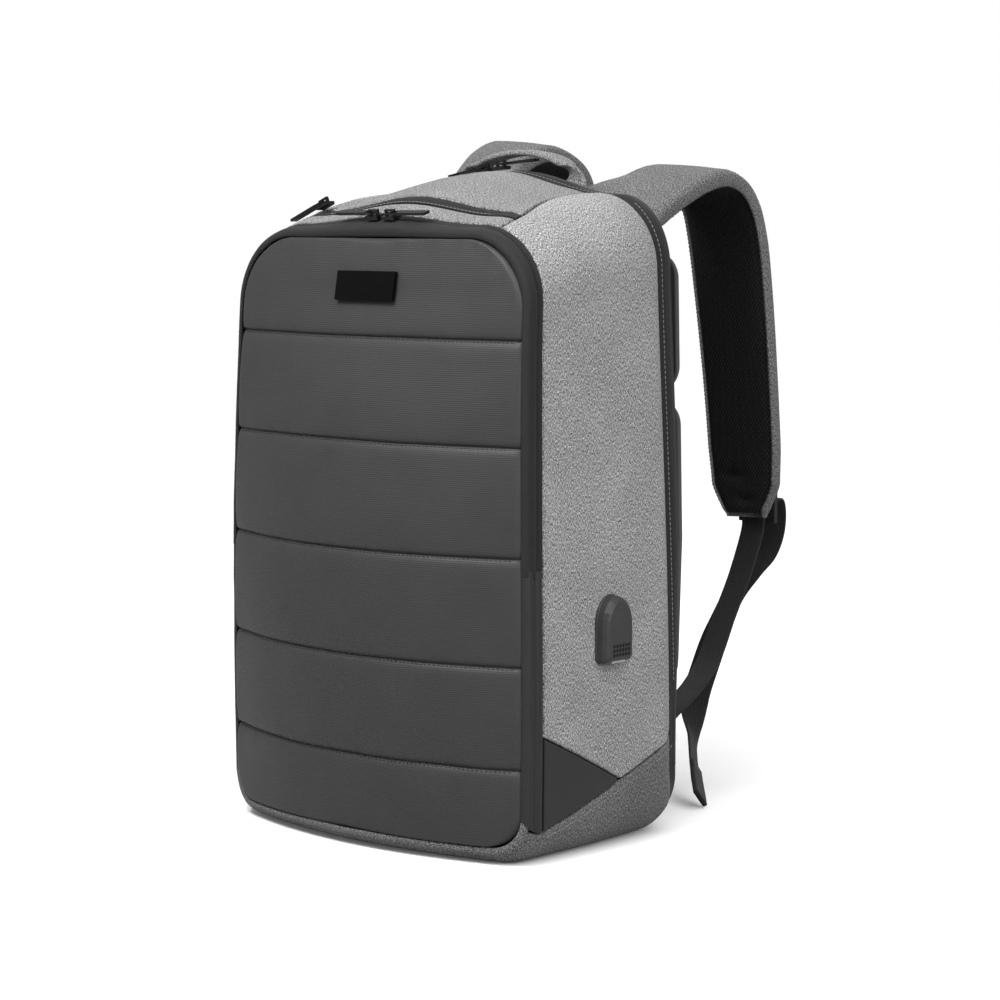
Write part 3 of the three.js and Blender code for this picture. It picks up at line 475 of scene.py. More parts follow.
def solid(name, outer, inner, material, uv=None, attrs=None):
    """closed slab between two grids of points"""
    m, n = outer.shape[:2]
    verts = np.concatenate([outer.reshape(-1, 3), inner.reshape(-1, 3)])
    idx = np.arange(m * n).reshape(m, n)
    a = np.stack([idx[:-1, :-1], idx[1:, :-1], idx[1:, 1:], idx[:-1, 1:]], -1).reshape(-1, 4)
    faces = [*a.tolist(), *(a[:, ::-1] + m * n).tolist()]
    ring = [*idx[:, 0], *idx[-1, 1:], *idx[-2::-1, -1], *idx[0, -2:0:-1]]
    for i in range(len(ring)):
        p, q = int(ring[i]), int(ring[(i + 1) % len(ring)])
        faces.append((p, q, q + m * n, p + m * n))
    if uv is not None:
        uv = np.concatenate([uv.reshape(-1, 2), uv.reshape(-1, 2)])
    if attrs:
        attrs = {k: np.concatenate([v.ravel(), v.ravel() * 0]) for k, v in attrs.items()}
    return make(name, verts, faces, material, uv, attrs)


def panel(name, tmap, a, b, material, thick=2.6, r=2.2, puff=0.0, wave=(60, 0.5), d0=0.0, uvswap=False, extra=None):
    """a sewn panel of the shell. tmap(a, b) gives t and s; the edges roll in by r, and the face puffs out between them."""
    A, B = np.meshgrid(a, b, indexing="ij")
    T, D = tmap(A, B)
    P, Nn = S(T, D), normal_s(T, D)
    dist, U, V = edge_dist(P)
    d = d0 + tuck(dist, r) - puff * smooth(dist / 26)
    if wave:
        d = d - ripple(U + 3 * len(name), V, wave[0], wave[1]) * smooth(dist / 14)
    if extra is not None:
        d = d + extra(P, dist, D)
    outer = P - Nn * d[..., None]
    inner = P - Nn * (np.maximum(d, d0 + r * 0.2) + thick)[..., None]
    cu, cv = U - U[-1:] / 2, V - V[:, :1]
    uv = np.stack([cv, cu] if not uvswap else [cu, cv], -1)
    return solid(name, outer, inner, material, uv)


def catmull(points, n):
    """centripetal spline through the points, n places at equal arc length: points, tangents, length"""
    p = np.asarray(points, float)
    p = np.vstack([2 * p[0] - p[1], p, 2 * p[-1] - p[-2]])
    out = []
    for i in range(1, len(p) - 2):
        q0, q1, q2, q3 = p[i - 1 : i + 3]
        d0, d1, d2 = (max(np.linalg.norm(b - a) ** 0.5, 1e-4) for a, b in ((q0, q1), (q1, q2), (q2, q3)))
        t1 = ((q1 - q0) / d0 - (q2 - q0) / (d0 + d1) + (q2 - q1) / d1) * d1
        t2 = ((q2 - q1) / d1 - (q3 - q1) / (d1 + d2) + (q3 - q2) / d2) * d1
        x = np.linspace(0, 1, 40, endpoint=i == len(p) - 3)[:, None]
        out.append(q1 + t1 * x + (-3 * q1 + 3 * q2 - 2 * t1 - t2) * x**2 + (2 * q1 - 2 * q2 + t1 + t2) * x**3)
    c = np.concatenate(out)
    s = np.concatenate([[0], np.cumsum(np.linalg.norm(np.diff(c, axis=0), axis=1))])
    u = np.linspace(0, s[-1], n) if np.isscalar(n) else np.asarray(n) * s[-1]
    P = np.stack([np.interp(u, s, c[:, k]) for k in range(3)], -1)
    T = unit(np.gradient(P, u, axis=0))
    return P, T, s[-1]


def frames(T, W0):
    W = unit(W0 - T * np.sum(W0 * T, -1, keepdims=True))
    return W, unit(np.cross(T, W))


def loft(name, C, W, Nn, sect, material, length_uv, caps=True, attrs=None):
    """sweeps closed sections sect[i] = (k, 2) of (w, n) along frames"""
    m, k = sect.shape[0], sect.shape[1]
    V = C[:, None] + W[:, None] * sect[..., :1] + Nn[:, None] * sect[..., 1:]
    g = np.concatenate([sect, sect[:, :1]], 1)
    per = np.concatenate([np.zeros((m, 1)), np.cumsum(np.linalg.norm(np.diff(g, axis=1), axis=-1), axis=1)], 1)[:, :k]
    uv = np.stack([per, np.repeat(np.asarray(length_uv)[:, None], k, 1)], -1)
    idx = np.arange(m * k).reshape(m, k)
    nx = np.roll(idx, -1, axis=1)
    faces = np.stack([idx[:-1], idx[1:], nx[1:], nx[:-1]], -1).reshape(-1, 4).tolist()
    V, uv = V.reshape(-1, 3), uv.reshape(-1, 2)
    if caps:
        for row in (0, m - 1):
            c = len(V)
            V = np.vstack([V, V[idx[row]].mean(0)])
            uv = np.vstack([uv, uv[idx[row]].mean(0)])
            faces += [(int(idx[row, j]), int(nx[row, j]), c) for j in range(k)]
    return make(name, V, faces, material, uv, attrs)


def flat_section(w, h, r=None):
    """a flat band w wide and h thick with round edges"""
    r = h / 2 if r is None else r
    pts = []
    for cx, cy, a0 in ((w / 2 - r, h / 2 - r, 0), (-w / 2 + r, h / 2 - r, 90), (-w / 2 + r, -h / 2 + r, 180), (w / 2 - r, -h / 2 + r, 270)):
        for a in (0, 30, 60, 90):
            an = math.radians(a0 + a)
            pts.append((cx + r * math.cos(an), cy + r * math.sin(an)))
        if a0 in (0, 180):
            s = 1 if a0 == 0 else -1
            for f in (0.6, 0.2, -0.2, -0.6):
                pts.append((s * f * (w / 2 - r), s * (h / 2)))
    return np.array(pts)


def stitches(name, P, Nn, material, pitch=3.4, size=2.4, rad=0.26, lift=0.02):
    """a row of single stitches lying along a line on a surface"""
    P, Nn = np.asarray(P, float), np.asarray(Nn, float)
    s = np.concatenate([[0], np.cumsum(np.linalg.norm(np.diff(P, axis=0), axis=1))])
    k = int(s[-1] // pitch)
    u0 = (np.arange(k) + 0.5) * pitch
    verts, faces = [], []
    ring = np.array([[1, 0], [0.3, 0.9], [-0.3, 0.9], [-1, 0]])
    for c in u0:
        u = np.array([c - size / 2, c - size / 4, c + size / 4, c + size / 2])
        q = np.stack([np.interp(u, s, P[:, j]) for j in range(3)], -1)
        n = unit(np.stack([np.interp(u, s, Nn[:, j]) for j in range(3)], -1))
        t = unit(q[-1] - q[0])
        w = unit(np.cross(t, n))
        base = len(verts)
        for i, (f, dz) in enumerate(((0.45, -0.25), (1.0, 0.0), (1.0, 0.0), (0.45, -0.25))):
            for x, y in ring:
                verts.append(q[i] + w[i] * x * rad * f + n[i] * (lift + y * rad * f + dz * rad))
        for i in range(3):
            for j in range(3):
                a = base + i * 4 + j
                faces.append((a, a + 1, a + 5, a + 4))
            faces.append((base + i * 4 + 3, base + i * 4, base + i * 4 + 4, base + i * 4 + 7))
        faces.append((base, base + 1, base + 2, base + 3))
        faces.append((base + 15, base + 14, base + 13, base + 12))
    return make(name, verts, faces, material, None, None, fix=True)


def teeth(name, P, T, Nn, material, side, pitch=1.5, w=2.4, h=1.3):
    """one half of a nylon coil: a row of rounded loops along a line. side says which way they reach."""
    s = np.concatenate([[0], np.cumsum(np.linalg.norm(np.diff(P, axis=0), axis=1))])
    k = int(s[-1] // pitch)
    u = (np.arange(k) + (0.5 if side > 0 else 1.0)) * pitch
    u = u[u < s[-1]]
    q = np.stack([np.interp(u, s, P[:, j]) for j in range(3)], -1)
    t = unit(np.stack([np.interp(u, s, T[:, j]) for j in range(3)], -1))
    n = unit(np.stack([np.interp(u, s, Nn[:, j]) for j in range(3)], -1))
    b = np.cross(t, n) * side
    ring = [(-1, 0), (-0.7, 0.8), (0, 1.15), (0.7, 0.8), (1, 0), (0, -0.5)]
    verts, faces = [], []
    for i in range(len(u)):
        base = len(verts)
        for f, wide in ((-w * 0.75, 0.7), (-w * 0.1, 0.85), (w * 0.25, 1.0)):
            for x, y in ring:
                verts.append(q[i] + b[i] * f + t[i] * x * pitch * 0.29 * wide + n[i] * y * h * 0.5 * wide)
        for r in range(2):
            for j in range(6):
                a, c = base + r * 6 + j, base + r * 6 + (j + 1) % 6
                faces.append((a, c, c + 6, a + 6))
        faces.append(tuple(base + j for j in range(6)))
        faces.append(tuple(base + 12 + j for j in (5, 4, 3, 2, 1, 0)))
    return make(name, verts, faces, material, None, None)


def plate(name, poly, face, back, material, r=1.6, rings=10, puff=0.0, dense=2.0, wave=0.0, uv_turn=False, flat_axis="y"):
    """closed plate over a polygon of (x, z): face(x, z) and back(x, z) give y. Edges are rounded by r."""
    poly = np.asarray(poly, float)
    s = np.concatenate([[0], np.cumsum(np.linalg.norm(np.diff(np.vstack([poly, poly[:1]]), axis=0), axis=1))])
    n = max(24, int(s[-1] / dense))
    u = np.linspace(0, s[-1], n, endpoint=False)
    u = np.unique(np.concatenate([u, s[:-1]]))
    ext = np.vstack([poly, poly[:1]])
    ring = np.stack([np.interp(u, s, ext[:, k]) for k in (0, 1)], -1)
    c = ring.mean(0)
    reach = np.linalg.norm(ring - c, axis=1)[:, None]
    n = len(ring)
    ins = np.array([0, 0.1, 0.3, 0.6, 1.0, 1.6]) * r
    levels = [ring + (c - ring) * np.minimum(i / reach, 0.9) for i in ins]
    start = levels[-1]
    for i in range(1, rings + 1):
        levels.append(start + (c - start) * (i / (rings + 1)))
    dist = [np.full(n, i) for i in ins] + [np.linalg.norm(l - start, axis=1) * 0.7 + ins[-1] for l in levels[len(ins) :]]
    sgn = 1 if face(*c) > back(*c) else -1
    top, low, uvs = [], [], []
    for l, d in zip(levels, dist):
        x, z = l[:, 0], l[:, 1]
        bump = sgn * (puff * smooth(d / 18) - tuck(d, r) + (ripple(x, z, 34, wave) * smooth(d / 10) if wave else 0))
        top.append(np.stack([x, face(x, z) + bump, z], -1))
        low.append(np.stack([x, back(x, z) + sgn * tuck(d, min(r, 0.8)), z], -1))
        uvs.append(np.stack([z, x] if uv_turn else [x, z], -1))
    m = len(levels)
    V = np.vstack([*top, np.array([[c[0], top[-1][:, 1].mean(), c[1]]]), *low, np.array([[c[0], low[-1][:, 1].mean(), c[1]]])])
    cuv = np.array([[c[1], c[0]] if uv_turn else [c[0], c[1]]])
    uv = np.vstack([*uvs, cuv, *uvs, cuv])
    half = m * n + 1
    faces = []
    for off, rev in ((0, False), (half, True)):
        idx = np.arange(m * n).reshape(m, n) + off
        nx = np.roll(idx, -1, axis=1)
        f = np.stack([idx[:-1], nx[:-1], nx[1:], idx[1:]], -1).reshape(-1, 4).tolist()
        f += [(int(idx[-1, j]), int(nx[-1, j]), off + m * n) for j in range(n)]
        faces += f
    for j in range(n):
        k = (j + 1) % n
        faces.append((j, k, k + half, j + half))
    return make(name, V, faces, material, uv)


def place(o, body, replaces=()):
    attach(o, body)
    if replaces:
        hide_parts(*replaces)
    return o


# ------------------------------------------------------------------ shell
def mirrored(t, right):
    return t if right else 2 - t


def base_map(A, B):
    s = lerp(0.026, 0.998, B)
    lim = t_seam(s) - 0.0008
    k = 2 * A - 1
    return np.where(np.abs(k) < 0.4, k / 0.4 * T1, np.sign(k) * lerp(T1, lim, (np.abs(k) - 0.4) / 0.6)), s


def rear_dip(D):
    """the cloth is drawn in towards the main zip's seam"""
    return 4.4 * smooth((D - 0.9) / 0.1) ** 1.6


place(panel("shell_base", base_map, spaced(110, 420, 2.2), spaced(44, 150, 2.2), HEATHER_BASE_PAINTED_SHADE, wave=None, extra=lambda P, dist, D: rear_dip(D) * smooth((P[..., 2] - 14) / 30)), "bag", ["base_panel"])

for right in (True, False):
    tag = "right" if right else "left"

    def side_map(A, B, right=right):
        s = lerp(0.1145, 0.998, B)
        lo = np.maximum(t_seam(s), t_patch(s)) + 0.0008
        return mirrored(lerp(lo, t_top(s) - 0.0008, A), right), s

    def side_form(P, dist, D):
        # slack in the cloth: broad folds near the top corner and above the diagonal seam
        x, y, z = P[..., 0], P[..., 1], P[..., 2]
        fold = 1.1 * np.exp(-(((z - 388) / 26) ** 2)) * np.sin((y + 0.55 * z) / 9.5) * np.exp(-(((y + 5) / 60) ** 2))
        low = 0.8 * np.exp(-(((z - 92) / 30) ** 2)) * np.sin((y - 0.8 * z) / 13)
        return -(fold + low) * smooth(dist / 22) + rear_dip(D)

    o = panel("shell_side_" + tag, side_map, spaced(96, 340, 2.2), spaced(48, 148, 2.2), HEATHER, puff=0.6, wave=(46, 0.45), extra=side_form)
    place(o, "bag", ["side_panel_" + tag])

    def patch_map(A, B, right=right):
        s = lerp(0.1145, 0.575, B)
        return mirrored(lerp(t_seam(s) + 0.0008, t_patch(s) - 0.0006, A), right), s

    o = panel("shell_patch_" + tag, patch_map, spaced(26, 44, 1.4), spaced(30, 70, 1.4), PATCH, thick=2.0, r=1.4, wave=None)
    place(o, "bag", ["corner_patch_" + tag])

place(
    panel("top_front", lambda A, B: (lerp(0.8408, 1.1592, A), lerp(S0 + 0.003, ZIP_A - 0.002, B)), spaced(70, 200, 1.6), spaced(14, 18, 1.6), HEATHER_TOP_PAINTED_SHADE, r=1.6, wave=(30, 0.25), extra=lambda P, dist, D: 1.5 * smooth((D - 0.2) / 0.04)),
    "bag",
    ["top_panel_front"],
)


def rear_map(A, B):
    k = np.abs(2 * A - 1)
    s = lerp(ZIP_B + 0.002 - 0.032 * k**6, 0.998, B)
    return lerp(t_top(s) + 0.0008, 2 - t_top(s) - 0.0008, A), s


def rear_form(P, dist, D):
    x, y, z = P[..., 0], P[..., 1], P[..., 2]
    return -(0.9 * np.sin((x * 0.8 + y) / 14) * np.exp(-(((np.abs(x) - 80) / 26) ** 2))) * smooth(dist / 20) - 0.9 * np.exp(-dist / 3.0) * (y < 0) + rear_dip(D)


place(panel("top_rear", rear_map, spaced(80, 200, 1.8), spaced(36, 100, 1.8), HEATHER_TOP_PAINTED_SHADE, r=1.8, puff=0.8, wave=(40, 0.4), extra=rear_form), "bag", ["top_panel_rear"])
place(
    panel("top_zip_band", lambda A, B: (lerp(0.8408, 1.1592, A), lerp(ZIP_A - 0.002, ZIP_B + 0.002, B)), spaced(70, 200, 0.6), spaced(10, 8, 0.6), BAND, thick=1.6, r=0.6, d0=0.5, wave=None, uvswap=True),
    "bag",
    ["top_zip_tape"],
)


def depth_at(t):
    p = S(t, np.zeros_like(t))
    return back_y(p[..., 2]) - p[..., 1]


def rolled(name, t0, t1, end, material, n, thick=2.2, R=3.6, crease=0.0, under=0.0, ends=True, puffy=0.7):
    """a band that rises from inside the front panel's edge, rounds over and runs back along the shell"""
    A = spaced(n, 900 if n > 100 else 160, 1.2)
    phi = np.linspace(0, 1, 9)
    prof = [(R * (1 - math.sin(f * PI / 2)) , R * (1 - math.cos(f * PI / 2))) for f in phi]
    far = np.concatenate([np.linspace(0.12, 1, 9)])
    t = lerp(t0, t1, A)
    L = depth_at(t)
    rows = []
    for inset, dep in prof:
        rows.append((np.full_like(t, inset), dep / L))
    for f in far:
        rows.append((np.full_like(t, 0.0), lerp(R / L, end, f)))
    I = np.stack([r[0] for r in rows], 1)
    Dp = np.stack([r[1] for r in rows], 1)
    T = np.repeat(t[:, None], len(rows), 1)
    P = S(T, Dp)
    Nn = normal_s(T, np.maximum(Dp, 0.02))
    dist, U, V = edge_dist(P - Nn * I[..., None])
    tail = np.minimum(V[:, -1:] - V, np.minimum(U, U[-1:] - U) if ends else 99.0)
    puff = puffy * np.sin(np.clip(V / V[:, -1:], 0, 1) * PI) ** 0.8
    if crease:
        mid = V / V[:, -1:]
        puff = puff + crease * (np.exp(-(((mid - 0.34) / 0.1) ** 2)) - 1.1 * np.exp(-(((mid - 0.6) / 0.06) ** 2)) + 0.8 * np.exp(-(((mid - 0.8) / 0.1) ** 2)))
    d = under + I + tuck(tail, 1.2) - puff + ripple(U, V, 24, 0.22) * smooth(tail / 5)
    outer = P - Nn * d[..., None]
    back = Nn.copy()
    inner = outer - back * thick
    # the inside of the roll goes back into the bag, so the wall keeps its thickness
    roll = clamp(I / R, 0, 1)[..., None]
    inner = lerp(inner, outer + np.array([0, thick, 0]), roll)
    uv = np.stack([V, U], -1)
    return solid(name, outer, inner, material, uv)


for right in (True, False):
    tag = "right" if right else "left"
    lo, hi = 0.2335, float(t_of_z(FLAP_Z + 5, 0.05))
    a, b = (lo, hi) if right else (2 - lo, 2 - hi)
    place(rolled("gusset_" + tag, a, b, 0.1115, COATED_DARK, 80, crease=1.1, under=0.5, ends=False), "bag", ["front_gusset_" + tag])

place(rolled("base_front_edge", -0.2345, 0.2345, 0.03, HEATHER_BASE_PAINTED_SHADE, 140, under=0.15, ends=False, puffy=0.2), "bag")
tz = float(t_of_z(FLAP_Z + 0.8, 0.03))
place(rolled("front_band", tz, 2 - tz, 0.0705, BAND, 300), "front_flap", ["front_zip_tape_flap"])
tz2 = float(t_of_z(FLAP_Z + 0.8, 0.09))
place(
    panel("front_band_shell", lambda A, B: (lerp(tz2, 2 - tz2, A), lerp(0.0765, S0 + 0.001, B)), spaced(220, 900, 0.9), spaced(8, 5.5, 0.9), BAND, thick=2.0, r=0.9, d0=0.5, wave=None, uvswap=True),
    "bag",
    ["front_zip_tape_shell"],
)
place(
    panel("main_band_shell", lambda A, B: (lerp(0.16, 1.84, A), lerp(1.003, 1.088, B)), spaced(300, 1250, 1.0), spaced(10, 9, 1.0), BAND, thick=2.0, r=1.0, d0=0.3, puff=0.5, wave=None, uvswap=True, extra=lambda P, dist, D: 3.6 * (1 - smooth((D - 1.0) / 0.075)) * smooth((P[..., 2] - 14) / 30)),
    "bag",
    ["main_zip_tape_shell"],
)
tb = float(t_of_z(HINGE_Z + 3, 1.0))
place(
    panel("main_band_panel", lambda A, B: (lerp(tb, 2 - tb, A), lerp(1.094, 1.185, B)), spaced(280, 1100, 1.0), spaced(10, 9, 1.0), BAND, thick=2.2, r=1.0, d0=0.3, puff=0.6, wave=None, uvswap=True),
    "back_panel",
    ["main_zip_tape_panel"],
)


def zip_line(t0, t1, s, n, depth):
    t = np.linspace(t0, t1, n)
    P, Nn = S(t, np.full(n, s)), normal_s(t, np.full(n, s))
    P = P - Nn * depth
    return P, unit(np.gradient(P, axis=0)), Nn


for name, t0, t1, s, d, body_a, body_b in (
    ("front_coil", tz, 2 - tz, 0.0737, 0.75, "front_flap", "bag"),
    ("main_coil", tb, 2 - tb, 1.091, 0.75, "bag", "back_panel"),
):
    P, T, Nn = zip_line(t0, t1, s, 900, d)
    place(teeth(name + "_a", P, T, Nn, COIL, 1), body_a)
    place(teeth(name + "_b", P, T, Nn, COIL, -1), body_b)
P, T, Nn = zip_line(0.862, 1.138, 0.273, 400, 0.55)
place(teeth("top_coil_a", P, T, Nn, COIL, 1), "bag")
place(teeth("top_coil_b", P, T, Nn, COIL, -1), "bag")

# rows of stitching on the shell
for right in (True, False):
    tag = "right" if right else "left"
    s = np.linspace(0.13, 0.985, 120)
    for row, (ts, dt) in enumerate(((t_seam(s), -0.0085), (t_top(s), 0.0))):
        if row:
            continue
        t = mirrored(ts + dt, right)
        place(stitches("seam_stitch_%s" % tag, S(t, s), normal_s(t, s), THREAD_GREY), "bag")
    t = mirrored(np.linspace(0.34, 0.83, 200), right)
    for label, sv in (("front", 0.126), ("rear", 0.985)):
        sv = np.full_like(t, sv)
        place(stitches("edge_stitch_%s_%s" % (label, tag), S(t, sv), normal_s(t, sv), THREAD_GREY), "bag")
t = np.linspace(0.87, 1.13, 160)
for label, sv in (("front", 0.128), ("zip_front", 0.236), ("rear", 0.985)):
    sv = np.full_like(t, sv)
    place(stitches("top_stitch_" + label, S(t, sv), normal_s(t, sv), THREAD_GREY), "bag")


# ------------------------------------------------------------------ quilted front
INSET = 3.5


def half_front(z):
    wb, wt, zb, rb, zt, crown, cx = [float(v) for v in section(np.array(0.0))]
    low = wb - rb + np.sqrt(np.maximum(0, rb * rb - (zb + rb - z) ** 2))
    k = (z - zb - rb) / (zt - CORNER_Z - zb - rb)
    mid = lerp(wb, wt, k * k * (3 - 2 * k)) + 2 * np.sin(PI * k)
    top = wt - cx + cx * np.sqrt(np.maximum(0, 1 - ((z - zt + CORNER_Z) / CORNER_Z) ** 2))
    return np.where(z < zb + rb, low, np.where(z < zt - CORNER_Z, mid, top))


def panel_half(z):
    return half_front(9 + (z - 9 - INSET) * (FRONT_TOP - 9) / (FRONT_TOP - 9 - 2 * INSET)) - INSET


def quilt_depth(x, z, dist):
    """how far the padded face lies behind the front's smooth form"""
    lines = [9.0, *SEAMS, 408.0]
    depth = np.zeros_like(z)
    k = np.zeros_like(z)
    for a, b in zip(lines[:-1], lines[1:]):
        q = (z >= a) & (z <= b)
        k = np.where(q, (z - a) / (b - a), k)
    depth = 1.7 * (1 - np.sin(PI * np.clip(k, 0, 1)) ** 0.55)
    for seam in SEAMS:
        line = seam + 0.5 * noise2(x, z * 0 + seam, 37)
        dz = z - line
        depth = depth + 2.5 * np.exp(-np.abs(dz) / np.where(dz > 0, 1.1, 2.4))
        # small puckers running off the stitching
        pk = noise2(x, z * 0 + seam * 3, 5.5) + 0.6 * noise2(x + 40, z * 0 + seam * 3, 11)
        depth = depth + 0.22 * pk * np.exp(-np.abs(dz) / 7)
    # drawn-in cloth along the outer edge, strongest at the top
    edge = noise2(x * 1.0, z * 0.12, 6.0) * np.exp(-dist / 9) * 0.5 * smooth((z - 330) / 40)
    side = noise2(x * 0.1, z, 8.0) * np.exp(-dist / 7) * 0.28
    return depth + edge + side + ripple(x, z, 70, 0.45) * smooth(dist / 20)


def quilt_grid():
    rows = [12.5 + v for v in (0, 0.3, 0.9, 1.8, 3.0, 4.4, 6.5)]
    rows += list(np.arange(22, 356, 3.0))
    for seam in SEAMS:
        rows += [seam + v for v in (-6, -4.2, -3, -2.2, -1.5, -1, -0.6, -0.3, 0, 0.3, 0.6, 1, 1.5, 2.2, 3, 4.2)]
    z1 = 404.5
    rows += [358 + (z1 - 358) * math.sin(f * PI / 2) for f in np.linspace(0, 1, 30)]
    rows = np.unique(np.round(rows, 3))
    keep = [rows[0]]
    for r in rows[1:]:
        if r - keep[-1] > 0.12:
            keep.append(r)
    return np.array(keep)


zs = quilt_grid()
aa = spaced(110, 270, 5.0)
A, Z = np.meshgrid(aa, zs, indexing="ij")
X = panel_half(np.minimum(Z, 404.49)) * (2 * A - 1)
flat = np.stack([X, front_y(X, Z), Z], -1)
dist, U, V = edge_dist(flat)
dep = quilt_depth(X, Z, dist) + tuck(dist, 4.0) * 0.95
outer = flat + np.stack([0 * X, dep, 0 * X], -1)
inner = flat + np.stack([0 * X, np.maximum(dep + 1.2, 5.8), 0 * X], -1)
quilt = solid("front_quilted_panel", outer, inner, COATED, np.stack([X, Z], -1))
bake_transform(quilt)
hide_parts("front_panel_lower", "front_flap_panel")

for i, seam in enumerate(SEAMS):
    h = float(panel_half(np.array(seam))) - 5
    x = np.linspace(-h, h, 160)
    zz = seam - 1.5 + 0.5 * noise2(x, 0 * x + seam, 37)
    y = front_y(x, zz) + 0.2 + quilt_depth(x, zz, np.minimum(h + 5 - np.abs(x), 40.0))
    o = stitches("quilt_stitch_%d" % (i + 1), np.stack([x, y, zz], -1), np.tile([0.0, -1.0, 0.0], (160, 1)), THREAD_DARK, pitch=3.2, size=2.3, rad=0.36, lift=0.1)
    place(o, "bag" if seam < FLAP_Z else "front_flap")


# ------------------------------------------------------------------ hard parts: the CAD nodes with rounded edges and better finishes
def dress(prefixes, material, width):
    for n, o in CAD.items():
        if any(n.startswith(p) or n.endswith(p) for p in prefixes):
            o.data.materials.clear()
            o.data.materials.append(material)
            o.data.polygons.foreach_set("use_smooth", [True] * len(o.data.polygons))
            if width:
                m = o.modifiers.new("edges", "BEVEL")
                m.width, m.segments, m.limit_method, m.angle_limit = width, 3, "ANGLE", math.radians(38)
                m.harden_normals = False
                w = o.modifiers.new("normals", "WEIGHTED_NORMAL")
                w.keep_sharp = True


dress(["_slider", "_puller"], METAL, 0.00035)
dress(["badge_plate"], BADGE, 0.0006)
dress(["usb_hood"], PLASTIC, 0.0007)
dress(["usb_backplate", "usb_lead_gland"], PLASTIC, 0.0005)
dress(["usb_socket_shell"], STEEL, 0.00015)
dress(["usb_socket_tongue"], LOCK, 0.0002)
dress(["ladder_lock"], LOCK, 0.0008)
dress(["base_board", "back_board"], BOARD, 0.0006)

# vent holes in the hood's face, lower right, each shown as a near-black cap that is painted shade for the hollow of the
# hole, and stitching round it
lo, hi = [np.array(v) * 1000 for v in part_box("usb_hood")]
xh, yc = hi[0], (lo[1] + hi[1]) / 2
verts, faces = [], []
for i in range(6):
    for j in range(3):
        y, z, r = yc - 7.0 + 3.05 * i, 133.2 + 2.95 * j, 0.95
        b = len(verts)
        for dx, rr in ((0.06, r * 1.12), (0.1, r)):
            verts += [(xh + dx - 0.02, y - rr, z - rr), (xh + dx - 0.02, y + rr, z - rr), (xh + dx - 0.02, y + rr, z + rr), (xh + dx - 0.02, y - rr, z + rr)]
        verts += [(xh - 0.3, y - r, z - r), (xh - 0.3, y + r, z - r), (xh - 0.3, y + r, z + r), (xh - 0.3, y - r, z + r)]
        faces += [(b, b + 1, b + 5, b + 4), (b + 1, b + 2, b + 6, b + 5), (b + 2, b + 3, b + 7, b + 6), (b + 3, b, b + 4, b + 7)]
        faces += [(b + 4, b + 5, b + 6, b + 7), (b + 11, b + 10, b + 9, b + 8)]
        faces += [(b, b + 8, b + 9, b + 1), (b + 1, b + 9, b + 10, b + 2), (b + 2, b + 10, b + 11, b + 3), (b + 3, b + 11, b + 8, b)]
place(make("usb_vents", verts, faces, VENT_PAINTED_SHADE, None, flat=True), "bag")
ang = np.linspace(0, PI, 40)
w, z0, zm, h = (hi[1] - lo[1]) / 2 + 2.2, lo[2] - 2.2, 152.0, hi[2] - 152 + 2.2
loop = [(yc + w * math.cos(q), zm + h * math.sin(q)) for q in ang]
loop = [*loop, (yc - w, z0 + 3), (yc - w + 3, z0), (yc + w - 3, z0), (yc + w, z0 + 3), (yc + w, zm)]
loop = np.array(loop)
q = []
for a, b in zip(loop[:-1], loop[1:]):
    k = max(2, int(np.linalg.norm(b - a) / 1.5))
    q += [lerp(a, b, f) for f in np.linspace(0, 1, k, endpoint=False)]
q = np.array(q)
sv = 0.5 + 0 * q[:, 0]
for _ in range(3):  # the depth at which the side lies at that y
    sv = sv + (q[:, 0] - S(t_of_z(q[:, 1], sv), sv)[:, 1]) / 140
tv = t_of_z(q[:, 1], sv)
place(stitches("usb_stitch", S(tv, sv) + normal_s(tv, sv) * 0.5, normal_s(tv, sv), THREAD_GREY, pitch=3.0, size=2.1, rad=0.4), "bag")
# a moulded lip that the hood stands on
verts = np.stack([0 * q[:, 0], q[:, 0], q[:, 1]], -1)
cen = np.array([0, yc, 150.0])
rim_out = cen + (verts - cen) * np.array([1, 0.9, 0.945])
rim_in = cen + (verts - cen) * np.array([1, 0.8, 0.88])
xs0 = float(S(t_of_z(150.0, 0.5), np.array(0.5))[0]) + 0.3
k = len(verts)
V = []
for ring, x in ((rim_out, xs0 - 0.8), (rim_out, xs0 + 0.7), (cen + (rim_out - cen) * 0.985, xs0 + 1.3), (rim_in, xs0 + 1.4), (rim_in, xs0 - 0.8)):
    c = ring.copy()
    c[:, 0] = x
    V.append(c)
V = np.concatenate(V)
faces = []
for r in range(5):
    for i in range(k):
        j = (i + 1) % k
        a, b = r * k, ((r + 1) % 5) * k
        faces.append((a + i, a + j, b + j, b + i))
place(make("usb_lip", V, faces, PLASTIC, None), "bag")


# ------------------------------------------------------------------ back panel
def half_outline(s, inset, z0, cut=1e9):
    t = np.linspace(0, 1, 81)
    sv = np.full_like(t, s)
    x, z = outline(t, sv)
    x1, z1 = outline(np.minimum(1, t + 1e-3), sv)
    x2, z2 = outline(np.maximum(0, t - 1e-3), sv)
    n = np.stack([z1 - z2, -(x1 - x2)], -1)
    n = n / (np.linalg.norm(n, axis=1, keepdims=True) + 1e-9)
    px, pz = x - n[:, 0] * inset, z - n[:, 1] * inset
    pts = [(a, b) for a, b in zip(px, pz) if z0 <= b <= cut and a > 0.5]
    out = [(pts[0][0], z0), *pts]
    if cut < 1e8:
        out.append((pts[-1][0], cut))
    out = out + [(-a, b) for a, b in out[::-1]]
    keep = [out[0]]
    for p in out[1:]:
        if math.dist(p, keep[-1]) > 0.05:
            keep.append(p)
    return np.array(keep)


def narrowed(poly, y):
    poly = np.asarray(poly, float).copy()
    poly[:, 0] *= draw_in(poly[:, 1], y - BACK_Y)
    return poly


